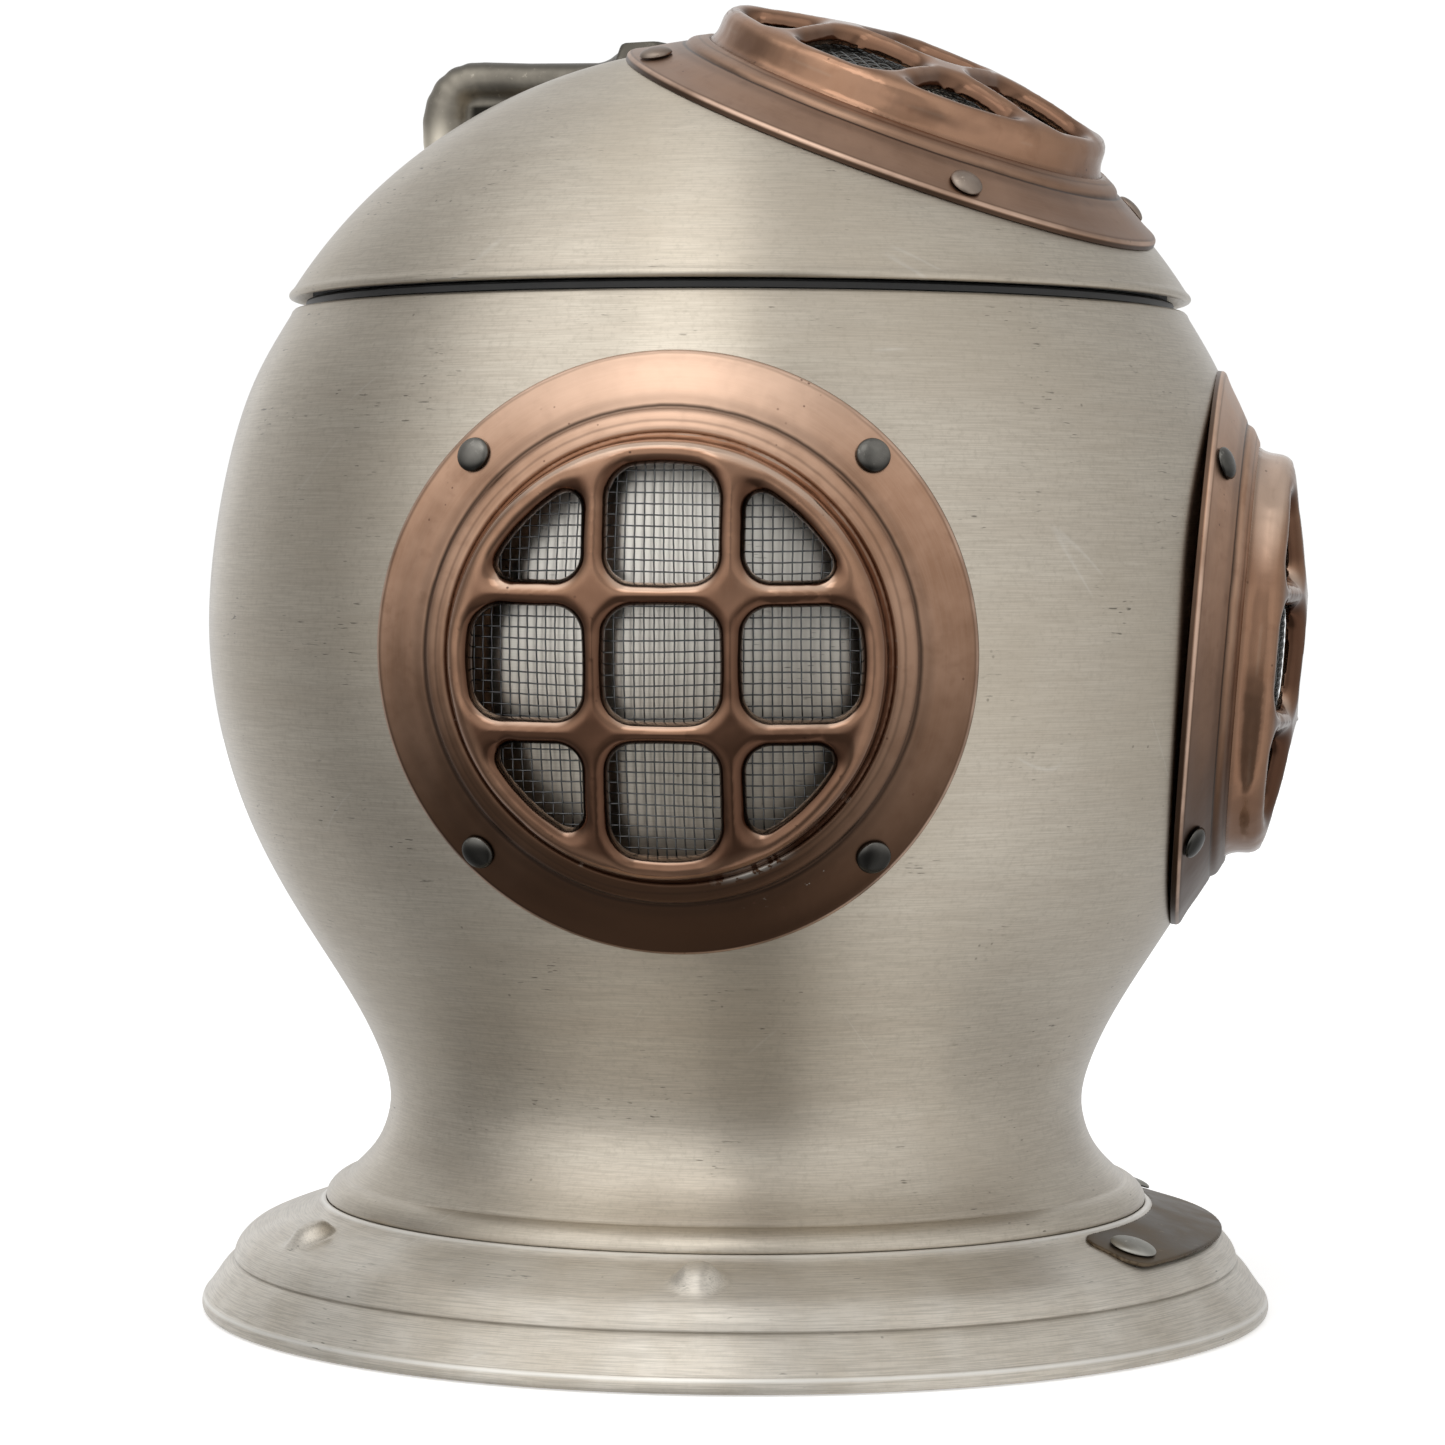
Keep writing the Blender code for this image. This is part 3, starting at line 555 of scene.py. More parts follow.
def dark_metal(name, low, high, rough_low, rough_high, shade_below=0.0, top_darkening=0.0, handle=False,
               grain=300.0):
    """Dark cast or blackened metal: fine grain, painted shade on what faces down, and darker on what
    faces up.

    The handle's has a painted highlight at its bend, is dark on the block, and is painted near black on
    the web under the pipe as painted shade.
    """
    p = Paint(name)
    vector = p.place()[0]
    cloud = p.noise(vector, 90.0, 4.0, 0.6)
    fine = p.noise(vector, grain * 2, 3.0, 0.65)
    tone = p.mix(p.fit(cloud, 0.3, 0.7), low, high)
    tone = p.mix(p.fit(fine, 0.62, 0.78, 0.0, 0.5), tone, tuple(min(1.0, c * 2.2) for c in high))
    if shade_below or top_darkening:
        rise = p.facing_up()
        # painted shade on what faces down
        tone = p.mix(p.fit(rise, -0.35, 0.45, shade_below, 0.0), tone, tuple(c * 0.35 for c in low))
        # darker on what faces up
        tone = p.mix(p.fit(rise, 0.25, 0.85, 0.0, top_darkening), tone, tuple(c * 0.4 for c in low))
    if handle:
        side, back, up = p.place(own_frame=True)[1:]
        # painted highlight on the outer side of the handle's bend
        bend_highlight = p.times(p.fit(back, 0.0590, 0.0625), p.fit(up, 0.2190, 0.2120))
        tone = p.mix(p.times(bend_highlight, 0.85), tone, (0.84, 0.77, 0.64))
        tone = p.mix(p.fit(back, 0.0290, 0.0240, 0.0, 0.6), tone, (0.06, 0.055, 0.045))
        # painted shade: the web under the pipe is painted near black
        sunk = p.times(p.fit(p.calc("ABSOLUTE", side), 0.0020, 0.0024, 1.0, 0.0),
                       p.fit(back, 0.0560, 0.0585, 1.0, 0.0))
        sunk = p.times(sunk, p.fit(up, 0.2192, 0.2202, 1.0, 0.0))
        tone = p.mix(p.times(sunk, 0.95), tone, (0.012, 0.011, 0.009))
    p.set(Base_Color=tone, Metallic=1.0, Roughness=p.fit(cloud, 0.3, 0.7, rough_low, rough_high))
    normal = p.bump(fine, 0.25, 0.05)
    p.set(Normal=p.bump(cloud, 0.3, 0.4, normal))
    return p.material


def plain_metal(name, low, high, rough_low, rough_high, turned_marks=True):
    """Clean plated or turned metal with faint machining rings."""
    p = Paint(name)
    vector, x, y, z = p.place()
    cloud = p.noise(vector, 50.0, 3.0)
    tone = p.mix(p.fit(cloud, 0.3, 0.7), low, high)
    p.set(Base_Color=tone, Metallic=1.0, Roughness=p.fit(cloud, 0.3, 0.7, rough_low, rough_high))
    if turned_marks:
        radius, east, north = p.rings(x, y)
        p.set(Normal=p.bump(p.brush(radius, east, north, z, 0.5, 20.0), 0.2, 0.03))
    return p.material


def soft_stuff(name, low, high, rough, grain, bump_mm):
    """Rubber, plastic or felt: matt, with a grain of its own."""
    p = Paint(name)
    vector = p.place()[0]
    cloud = p.noise(vector, 60.0, 3.0)
    fine = p.noise(vector, grain, 4.0, 0.7)
    tone = p.mix(p.fit(cloud, 0.3, 0.7), low, high)
    tone = p.mix(p.fit(fine, 0.3, 0.7, 0.0, 0.4), tone, high)
    p.set(Base_Color=tone, Roughness=rough)
    p.set(Normal=p.bump(fine, 0.5, bump_mm))
    return p.material


ALUMINIUM = aluminium("spun_aluminium")
DULL_ALUMINIUM = aluminium("handled_aluminium", 0.34, 0.44, 0.8)
FLANGE_COPPER = copper_flange("copper_flange")
GRILLE_COPPER = copper_grille("copper_grille")
LID_FLANGE_COPPER = copper_flange("copper_flange_on_lid", False)
LID_GRILLE_COPPER = copper_grille("copper_grille_on_lid", False)
RIVET = dark_metal("gunmetal_rivet", (0.08, 0.077, 0.07), (0.22, 0.21, 0.19), 0.20, 0.30,
                   shade_below=0.95)
LID_RIVET = dark_metal("coppered_rivet", (0.20, 0.15, 0.12), (0.36, 0.30, 0.25), 0.34, 0.46)
PLATE_RIVET = dark_metal("dull_rivet", (0.24, 0.235, 0.21), (0.46, 0.45, 0.41), 0.36, 0.5)
PEWTER = dark_metal("handle_casting", (0.19, 0.173, 0.144), (0.34, 0.31, 0.258), 0.32, 0.44,
                    shade_below=0.35, top_darkening=0.8, handle=True)
BRONZE = dark_metal("plate_bronze", (0.08, 0.062, 0.042), (0.16, 0.122, 0.083), 0.38, 0.55)
WIRE = plain_metal("drawn_wire", (0.09, 0.093, 0.095), (0.17, 0.175, 0.175), 0.30, 0.38, False)
MIRROR = plain_metal("silvered_glass", (0.78, 0.775, 0.75), (0.84, 0.835, 0.81), 0.03, 0.05, False)
STEEL = plain_metal("plated_steel", (0.48, 0.48, 0.47), (0.60, 0.60, 0.58), 0.26, 0.36)
PLASTIC = soft_stuff("black_plastic", (0.012, 0.012, 0.012), (0.03, 0.03, 0.03), 0.42, 900.0, 0.03)
RUBBER = soft_stuff("grey_rubber", (0.05, 0.05, 0.05), (0.09, 0.09, 0.09), 0.75, 1400.0, 0.05)
FELT = soft_stuff("green_felt", (0.015, 0.05, 0.022), (0.035, 0.095, 0.045), 0.95, 2200.0, 0.25)

MATERIAL_OF_SLOT = {
    "brushed_aluminium": ALUMINIUM, "antiqued_copper": FLANGE_COPPER, "dark_rivet": RIVET,
    "handle_pewter": PEWTER, "plate_bronze": BRONZE, "woven_wire": WIRE, "silvered_glass": MIRROR,
    "plated_steel": STEEL, "black_plastic": PLASTIC, "grey_rubber": RUBBER, "green_felt": FELT,
}
SLOT_OF_NODE = {row["node"]: row["material_slot"] for row in frame["record"]["subparts"]}
for name, node in NODES.items():
    node.data.materials.clear()
    node.data.materials.append(MATERIAL_OF_SLOT[SLOT_OF_NODE[name]])


def finish_piece(piece, body, *nodes):
    """Put a piece on its body in place of CAD nodes."""
    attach(piece, body)
    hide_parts(*nodes)


def add_piece(name, mesh, material, body, node, matrix=Matrix(), sharp=40.0):
    """A piece from its points and faces, on its body in place of one CAD node."""
    finish_piece(add_mesh(name, *mesh, material, matrix, sharp), body, node)


# ---------------------------------------------------------------- where the windows sit

def window_frame(centre, normal):
    """A frame with +Z along the window's normal and +X level."""
    across = Vector((0, 0, 1)).cross(normal).normalized()
    turn = Matrix((across, normal.cross(across), normal)).transposed().to_4x4()
    return Matrix.Translation(centre) @ turn


def frame_of(azimuth):
    if azimuth is None:
        normal = Vector((0, -math.sin(LID_TILT), math.cos(LID_TILT)))
        seat = window_frame(Vector((0, 0, LID_CENTRE)) + normal * LID_OUT, normal)
        return Matrix.Rotation(LID_TURN, 4, "Z") @ seat
    level = Vector((math.sin(azimuth), -math.cos(azimuth), 0))
    normal = level * math.cos(WINDOW_DIP) - Vector((0, 0, math.sin(WINDOW_DIP)))
    return window_frame(level * WINDOW_OUT + Vector((0, 0, WINDOW_HEIGHT)), normal)


# ---------------------------------------------------------------- body and base

GLOBE = [(81.2, 178.6), (87.0, 168.3), (92.3, 152.0), (95.0, 136.0), (95.7, 121.0), (94.0, 106.4),
         (88.4, 88.1), (78.7, 70.0), (69.5, 55.4), (64.3, 44.5), (62.9, 37.2), (63.5, 33.6),
         (65.0, 29.9), (67.5, 26.6), (70.3, 23.9)]
BODY = ([(77.0, 179.8), (80.0, 179.8), (80.5, 179.7), (80.9, 179.3)] + spline(GLOBE, 110)
        + [(70.6, 23.55), (70.95, 23.4)]
        + spline([(71.2, 23.42), (72.3, 22.95), (73.35, 22.15), (74.1, 21.2), (74.45, 20.3),
                  (74.42, 19.6), (74.2, 19.3)], 24) + [(73.6, 19.0), (72.4, 18.3), (70.4, 18.3)])
BASE_SLOPE = spline([(74.47, 19.2), (74.6, 19.5), (75.0, 19.4), (76.0, 18.6), (78.6, 17.5),
                     (82.0, 16.45), (85.6, 15.1), (88.0, 13.9), (89.6, 12.5), (90.7, 10.9),
                     (91.15, 9.4)], 80)
BASE = ([(66.0, 17.7), (73.8, 17.7), (74.2, 18.7)] + BASE_SLOPE
        + [(91.05, 9.2), (90.95, 9.0), (91.15, 8.85)]
        + spline([(91.5, 8.75), (92.5, 7.8), (93.6, 6.45), (94.6, 5.0), (95.5, 3.75), (96.0, 3.0)], 20)
        + [(96.08, 2.8), (96.25, 2.72)]
        + spline([(96.4, 2.65), (96.7, 2.1), (96.85, 1.4), (96.85, 0.8), (96.7, 0.3)], 14)
        + [(96.4, 0.0), (94.6, 0.0), (94.2, 2.8), (90.0, 9.0), (86.6, 12.9), (76.3, 16.2), (66.0, 16.5)])


STUD_ANGLES = (0, 60, 120, 180)     # round the half that faces away from the name plate
UPPER_FACE = 13.0                   # the flange's upper face lies over this height at the studs


def stud_height(points, angle, radius=82.6, size=3.7, rise=2.7):
    """Rise of one soft stud pressed up in the flange, at each point."""
    away = np.hypot(points[:, 0] - radius * math.cos(angle), points[:, 1] - radius * math.sin(angle))
    return rise * np.exp(-(away / size) ** 4.0)


def make_body():
    add_piece("helmet_body", turned(sheet(BODY, WALL)), ALUMINIUM, "bucket", "body_shell")


def make_base():
    points, faces = turned(BASE, ROUND * 2)
    upper = points[:, 2] > UPPER_FACE
    for angle in STUD_ANGLES:
        points[:, 2] += np.where(upper, stud_height(points, math.radians(angle)), 0.0)
    add_piece("base_flange_pressed", (points, faces), DULL_ALUMINIUM, "bucket", "base_flange",
              Matrix.Rotation(BASE_TURN, 4, "Z"), 50.0)


# ---------------------------------------------------------------- windows

FLANGE = (spline([(36.7, 7.0), (36.75, 7.4), (37.2, 7.75), (38.3, 7.4), (39.5, 6.8), (40.2, 6.25),
                  (40.5, 5.75)], 20) + [(40.65, 5.4), (40.95, 5.25)]
          + spline([(41.3, 5.15), (42.6, 4.45), (44.6, 3.35), (47.0, 1.95), (48.8, 1.05), (49.5, 0.65),
                    (49.8, 0.2), (49.8, -0.2)], 34)
          + [(49.8, -0.75), (49.65, -0.85), (49.1, -0.7), (48.4, 0.1), (46.5, 1.1), (43.5, 2.8),
             (41.2, 4.1), (39.9, 4.9), (38.5, 5.8), (36.7, 6.4)])
CUP_OUTER = ([(-40, -10), (-40, 19.5), (0, 19.5)] + spline(
    [(0, 19.2), (8, 18.95), (16, 18.2), (24, 16.9), (30, 15.5), (32.6, 14.85), (34.2, 14.25),
     (35.2, 13.4), (35.75, 12.3), (35.9, 11.0)], 40)[1:]
    + spline([(35.9, 11.0), (35.95, 10.0), (36.15, 9.0), (36.5, 8.2), (36.9, 7.7)], 12)[1:]
    + [(36.9, -10)])
CUP_FOOT = 6.9                  # lower edge of the cup's barrel
CUP_INNER = [(-40, -20), (-40, 15.8), (0, 15.8), (8, 15.6), (16, 14.85), (24, 13.6), (30.6, 11.9),
             (34.0, 10.9), (34.75, 10.0), (34.9, -20)]
CELL_CIRCLE = 31.8              # outer edge of the openings
BAR_OFFSET = 11.2               # from the cup's middle to a bar's
HALF_BAR = 2.15


def cells(x, y, corner=4.2):
    """Signed distance to the nine openings in plan, negative in an opening."""
    radius = np.hypot(x, y)
    sides = []
    for here, other in ((np.abs(x), np.abs(y)), (np.abs(y), np.abs(x))):
        bulge = 0.35 * np.cos(np.clip(other / 9.0, 0, 1) * math.pi / 2)
        sides.append((here - (BAR_OFFSET - HALF_BAR + bulge), BAR_OFFSET + HALF_BAR - bulge - here))
    ring = radius - CELL_CIRCLE
    best = np.full(radius.shape, np.inf)
    for a in sides[0]:
        for b in sides[1]:
            best = np.minimum(best, round_max(round_max(a, b, corner), ring, corner))
    return best


def cup_field(x, y, z):
    """The grille cup as a solid: outside, less the hollow, less the openings with soft edges."""
    radius = np.hypot(x, y)
    wave = 0.13 * np.sin(0.23 * x + 1.3) * np.sin(0.19 * y + 0.4)
    outside = OUTER_TABLE(radius, z) + wave * np.clip((z - 9.0) / 4.0, 0, 1)
    hollow = INNER_TABLE(radius, z)
    edge = 2.7 + 0.7 * np.clip((radius - 27.0) / 5.0, 0, 1)
    return np.maximum(round_max(outside, -cells(x, y), edge), -hollow)


class Table:
    """Signed distance to an outline, looked up on a fine grid."""

    def __init__(self, polygon, low, high, step):
        self.low, self.step = np.array(low, float), step
        r = np.arange(low[0], high[0] + step, step)
        h = np.arange(low[1], high[1] + step, step)
        self.value = polygon_distance(polygon, *np.meshgrid(r, h, indexing="ij"))

    def __call__(self, r, h):
        u = np.clip((r - self.low[0]) / self.step, 0, self.value.shape[0] - 1.001)
        v = np.clip((h - self.low[1]) / self.step, 0, self.value.shape[1] - 1.001)
        i, j = u.astype(int), v.astype(int)
        a, b = u - i, v - j
        grid = self.value
        return ((1 - a) * ((1 - b) * grid[i, j] + b * grid[i, j + 1])
                + a * ((1 - b) * grid[i + 1, j] + b * grid[i + 1, j + 1]))


OUTER_TABLE = Table(CUP_OUTER, (0, 0), (56, 24), 0.1)
INNER_TABLE = Table(CUP_INNER, (0, 0), (56, 24), 0.1)


def cup_mesh():
    return net(lambda x, y, z: np.maximum(cup_field(x, y, z), CUP_FOOT - z),
               (-37.8, -37.8, 6.0), (37.8, 37.8, 20.1), 0.45)


def wire_dome(x, y):
    return 14.75 - 4.5 * (x * x + y * y) / 33.0 ** 2


def wire_mesh():
    """Plain-woven wire stretched over a dome: warp upright, weft level."""
    warp, weft, reach, thick = 1.59, 1.81, 33.9, 0.14
    points, faces = [], []
    for pitch, other, across in ((warp, weft, False), (weft, warp, True)):
        for index in range(-int(reach / pitch), int(reach / pitch) + 1):
            fixed = index * pitch
            half = math.sqrt(max(reach ** 2 - fixed ** 2, 0.0))
            if half < 2.0:
                continue
            steps = max(int(2 * half / (other / 4)), 4)
            run = np.linspace(-half, half, steps + 1)
            side = 1.0 if index % 2 == 0 else -1.0
            weave = side * np.cos(math.pi * run / other) * thick * (-1.0 if across else 1.0)
            x, y = (run, np.full_like(run, fixed)) if across else (np.full_like(run, fixed), run)
            drift = 0.35 * np.sin(x / 7.3 + 0.6) * np.sin(y / 9.1 + 1.1)
            sag = 0.30 * np.sin(x / 8.7 - 0.4) * np.sin(y / 6.9 + 2.0)
            line = np.stack([x + drift, y + sag, wire_dome(x, y) + weave], 1)
            along = np.gradient(line, axis=0)
            along /= np.linalg.norm(along, axis=1)[:, None]
            flat = np.array([0.0, 1.0, 0.0] if across else [1.0, 0.0, 0.0])
            up = np.cross(along, flat)
            up /= np.linalg.norm(up, axis=1)[:, None]
            out = np.cross(up, along)
            start = len(points)
            rings = [line + thick * (math.cos(angle) * out + math.sin(angle) * up)
                     for angle in (math.tau * corner / 5 for corner in range(5))]
            points.extend(np.stack(rings, 1).reshape(-1, 3).tolist())
            for k in range(steps):
                for corner in range(5):
                    after = (corner + 1) % 5
                    faces.append((start + k * 5 + corner, start + k * 5 + after,
                                  start + (k + 1) * 5 + after, start + (k + 1) * 5 + corner))
            last = start + steps * 5
            faces.append(tuple(start + k for k in (4, 3, 2, 1, 0)))
            faces.append(tuple(last + k for k in range(5)))
    return np.array(points), faces


def rivet_outline(radius=2.9, rise=1.5, shank=3.6):
    """A low dome that turns down at a thin rim, lifted a little off its seat, and its shank."""
    head = [(radius * math.sin(a), 0.35 + (rise - 0.35) * math.cos(a))
            for a in np.linspace(0, math.pi / 2, 16)[:-1]]
    return head + [(radius, 0.3), (radius - 0.15, 0.15), (1.1, 0.15), (1.1, -shank), (0, -shank)]


WINDOW_RIVET_SEAT = (Matrix.Translation((46.3, 0, 2.45))
                     @ Matrix.Rotation(math.radians(28.5), 4, "Y"))


def make_windows():
    cup, wires, flange, head = (cup_mesh(), wire_mesh(), turned(FLANGE, WINDOW_ROUND),
                                turned(rivet_outline(), 40))
    for name, azimuth in WINDOWS.items():
        if azimuth is None:
            body, coppers, rivet = "lid", (LID_FLANGE_COPPER, LID_GRILLE_COPPER), LID_RIVET
        else:
            body, coppers, rivet = "bucket", (FLANGE_COPPER, GRILLE_COPPER), RIVET
        seat = frame_of(azimuth)
        add_piece(name + "_ring", flange, coppers[0], body, name + "_flange", seat, 50.0)
        add_piece(name + "_cup", cup, coppers[1], body, name + "_grille", seat, 50.0)
        add_piece(name + "_weave", wires, WIRE, body, name + "_mesh", seat, None)
        for index in range(4):
            turn = Matrix.Rotation(math.radians(45 + 90 * index), 4, "Z")
            place = seat @ turn @ WINDOW_RIVET_SEAT @ Matrix.Rotation(1.1 * index, 4, "Z")
            add_piece(f"{name}_stud_{index + 1}", head, rivet, body, f"{name}_rivet_{index + 1}",
                      place)


# ---------------------------------------------------------------- lid

def make_lid():
    turn = Matrix.Rotation(LID_TURN, 4, "Z")
    cap = cap_arc(LID_RADIUS, LID_CENTRE, 0.0, math.radians(57.2), 90)
    roll = spline([(80.7, 183.4), (81.15, 182.95), (81.45, 182.45), (81.4, 181.95), (81.0, 181.65),
                   (80.5, 181.6)], 12)
    under = cap_arc(LID_RADIUS - WALL, LID_CENTRE, math.radians(57.0), 0.0, 40)
    add_piece("lid_cap", turned(cap + roll + [(79.95, 182.0)] + under), ALUMINIUM, "lid", "lid_shell",
              turn)


# (distance back from the axis, height, radius) along the middle of the cast pipe
HANDLE_PATH = [(18.0, 223.3, 3.3), (30.0, 223.3, 3.3), (45.0, 223.9, 3.35), (55.0, 224.5, 3.45),
               (57.8, 224.3, 3.7), (60.0, 223.4, 4.1), (61.6, 221.8, 4.5), (62.5, 219.6, 4.85),
               (62.9, 217.0, 5.05), (62.6, 213.5, 5.2), (61.7, 209.0, 5.3), (59.8, 196.0, 5.4)]
NUT_HALF = 6.3                  # centre to a flat
NUT_MIDDLE, NUT_REACH = 19.5, 3.9
WEB_HALF = 1.6


def pipe_field(x, y, z):
    """Distance to a pipe of changing radius that follows the handle's path."""
    best = np.full(x.shape, np.inf)
    for (y0, z0, r0), (y1, z1, r1) in zip(HANDLE_PATH, HANDLE_PATH[1:]):
        dy, dz = y1 - y0, z1 - z0
        t = np.clip(((y - y0) * dy + (z - z0) * dz) / (dy * dy + dz * dz), 0, 1)
        away = np.sqrt(x ** 2 + (y - y0 - t * dy) ** 2 + (z - z0 - t * dz) ** 2)
        best = np.minimum(best, away - r0 - t * (r1 - r0))
    return best


def handle_field(x, y, z):
    """The cast handle behind the axis: hexagon nut, cone, bent pipe and the web under it."""
    up = z - HANDLE_PATH[0][1]
    around = np.hypot(x, up)
    flats = [np.abs(x * math.sin(a) + up * math.cos(a)) for a in np.radians((0, 60, 120))]
    nut = np.maximum.reduce(flats) - NUT_HALF
    beyond = np.abs(y - NUT_MIDDLE) - NUT_REACH
    nut = round_max(nut, beyond, 0.5)
    nut = round_max(nut, around + 0.55 * beyond - NUT_HALF - 0.6, 0.4)
    cone = np.maximum((around - 6.0 + (y - 23.2) * 0.56) * 0.87, np.maximum(22.6 - y, y - 29.0))
    pipe = np.maximum(pipe_field(x, y, z), 18.0 - y)
    solid = smooth_min(smooth_min(pipe, cone, 1.2), nut, 0.5)
    web = np.maximum(np.abs(x) - WEB_HALF, np.maximum(24.0 - y, y - 61.0))
    web = np.maximum(web, z - HANDLE_PATH[0][1])
    solid = smooth_min(solid, web, 1.0)
    seat = np.sqrt(x ** 2 + y ** 2 + (z - LID_CENTRE) ** 2) - LID_RADIUS - 0.3
    return np.maximum(solid, -seat)


def make_handle():
    turn = Matrix.Rotation(LID_TURN, 4, "Z")
    casting = net(handle_field, (-8.2, 14.6, 200.0), (8.2, 70.0, 231.5), 0.40)
    add_piece("lid_handle", casting, PEWTER, "lid", "handle", turn, 50.0)


# ---------------------------------------------------------------- name plate

PLATE_IN, PLATE_OUT, PLATE_CORNER = 75.7, 88.4, 4.0
SLOPE_RADIUS, SLOPE_HEIGHT = 75.4, 18.03        # a point of the slope that the plate lies on
PLATE_RIVET_ANGLE = math.radians(30.0)
PLATE_RIVET_SEAT = (Matrix.Translation((83.0, 0, 16.8))
                    @ Matrix.Rotation(math.radians(17.6), 4, "Y"))
PLATE_HALF_ANGLE = math.radians(34.5)
PLATE_SLOPE = math.radians(17.1)


def plate_field(x, y, z):
    """A blank plate that follows the base's slope, with rounded corners and edges."""
    radius = np.hypot(x, y)
    angle = np.arctan2(x, -y)
    middle = (PLATE_IN + PLATE_OUT) / 2
    along = np.abs(angle) * radius - PLATE_HALF_ANGLE * radius + PLATE_CORNER
    across = np.abs(radius - middle) - (PLATE_OUT - PLATE_IN) / 2 + PLATE_CORNER
    outline = (np.hypot(np.maximum(along, 0), np.maximum(across, 0))
               + np.minimum(np.maximum(along, across), 0) - PLATE_CORNER)
    rise = ((z - SLOPE_HEIGHT) * math.cos(PLATE_SLOPE)
            + (radius - SLOPE_RADIUS) * math.sin(PLATE_SLOPE))
    return round_max(outline, np.abs(rise - 0.64) - 0.34, 0.2)


def make_name_plate():
    turn = Matrix.Rotation(BASE_TURN, 4, "Z")
    plate = net(plate_field, (-51.0, -89.1, 13.6), (51.0, -61.5, 20.0), 0.36)
    add_piece("name_plate_blank", plate, BRONZE, "bucket", "name_plate", turn, 50.0)
    head = turned(rivet_outline(4.1, 1.45), 64)
    for name, side in (("plate_rivet_right", -1), ("plate_rivet_left", 1)):
        around = Matrix.Rotation(side * PLATE_RIVET_ANGLE - math.pi / 2, 4, "Z")
        place = turn @ around @ PLATE_RIVET_SEAT
        add_piece(name + "_head", head, PLATE_RIVET, "bucket", name, place)


# ---------------------------------------------------------------- pieces seen with the lid off

LINER = [(75.0, 88.0), (74.6, 80.0), (72.4, 72.6), (67.6, 64.4), (60.0, 57.2), (50.0, 52.2),
         (38.0, 50.1), (24.0, 50.0), (0.0, 50.0)]


def make_liner():
    outer = [(75.0, 177.6), (75.0, 88.0)] + spline(LINER, 60)[1:]
    inner = offset(outer, 3.0)
    inner[0], inner[-1] = (72.0, 177.6), (0.0, 53.0)
    lip = spline([(72.0, 177.6), (72.4, 178.05), (73.5, 178.2), (74.6, 178.05), (75.0, 177.6)], 14)
    add_piece("liner_glass", turned(inner[::-1] + lip[1:-1] + outer), MIRROR, "bucket", "liner")
    collar = [(71.7, 181.5), (77.9, 181.5), (78.2, 181.4), (78.4, 181.1), (78.4, 180.1), (76.6, 180.1),
              (76.6, 171.0), (75.4, 171.0), (75.4, 178.6), (71.4, 178.6), (71.4, 181.2)]
    add_piece("collar_ring", turned(collar), PLASTIC, "bucket", "liner_collar", sharp=30.0)


def make_lid_underside():
    turn = Matrix.Rotation(LID_TURN, 4, "Z")
    seal = [(73.0, 183.7), (76.8, 183.7), (77.2, 183.3), (77.2, 182.2), (76.8, 181.8), (73.0, 181.8),
            (72.6, 182.2), (72.6, 183.3)]
    add_piece("gasket_ring", turned(seal), RUBBER, "lid_seat", "lid_gasket", turn)
    pan = ([(0, 174.5), (68.4, 174.5)] + spline([(68.6, 174.52), (69.4, 174.9), (69.8, 175.7)], 8)
           + [(69.8, 184.8), (77.5, 184.8), (77.5, 184.0), (70.6, 184.0)]
           + spline([(70.6, 175.6), (70.1, 174.3), (68.8, 173.7)], 8) + [(0, 173.7)])
    add_piece("pan_dish", turned(pan), ALUMINIUM, "lid", "lid_pan", turn, 30.0)


def make_underside():
    cover = [(0, 2.8), (91.0, 2.8), (91.0, 1.6), (0, 1.6)]
    add_piece("cover_disc", turned(cover), STEEL, "bucket", "base_cover", sharp=30.0)
    pad = [(0, 1.3), (88.7, 1.3), (89.0, 1.0), (89.0, 0.3), (88.7, 0.0), (0, 0.0)]
    add_piece("felt_disc", turned(pad), FELT, "bucket", "felt_pad", sharp=30.0)


make_body()
make_base()
make_windows()
make_lid()
make_handle()
make_name_plate()
make_liner()
make_lid_underside()
make_underside()


# ---------------------------------------------------------------- camera, light and floor

FOCAL = 114.6
LOOK_AZIMUTH = math.radians(-82.75)
LOOK_DOWN = math.radians(2.048)
ROLL = math.radians(0.27)
DISTANCE, ASIDE, EYE = 837.2, 2.8, 135.5


def make_camera():
    back = Vector((math.sin(LOOK_AZIMUTH), -math.cos(LOOK_AZIMUTH), 0))
    right = Vector((math.cos(LOOK_AZIMUTH), math.sin(LOOK_AZIMUTH), 0))
    rise = Vector((0, 0, 1))
    up = rise * math.cos(LOOK_DOWN) - back * math.sin(LOOK_DOWN)
    towards = back * math.cos(LOOK_DOWN) + rise * math.sin(LOOK_DOWN)
    turn = Matrix((right, up, towards)).transposed().to_4x4()
    lens = bpy.data.cameras.new("camera")
    lens.lens = FOCAL
    lens.sensor_width = 36.0
    lens.clip_start = 0.01
    lens.clip_end = 50.0
    place = Matrix.Translation(back * DISTANCE - right * ASIDE + rise * EYE) @ turn
    camera = add_object("camera", lens, place @ Matrix.Rotation(ROLL, 4, "Z"))
    bpy.context.scene.camera = camera


def area_light(name, azimuth, elevation, distance, width, power):
    """A square softbox that faces the helmet, by its angle from the camera's own side."""
    angle = LOOK_AZIMUTH + math.radians(azimuth)
    lift = math.radians(elevation)
    out = Vector((math.sin(angle) * math.cos(lift), -math.cos(angle) * math.cos(lift), math.sin(lift)))
    light = bpy.data.lights.new(name, "AREA")
    light.shape = "RECTANGLE"
    light.size = light.size_y = width * MM
    light.energy = power
    turn = out.to_track_quat("Z", "Y").to_matrix().to_4x4()
    add_object(name, light, Matrix.Translation(out * distance + Vector((0, 0, 120.0))) @ turn)


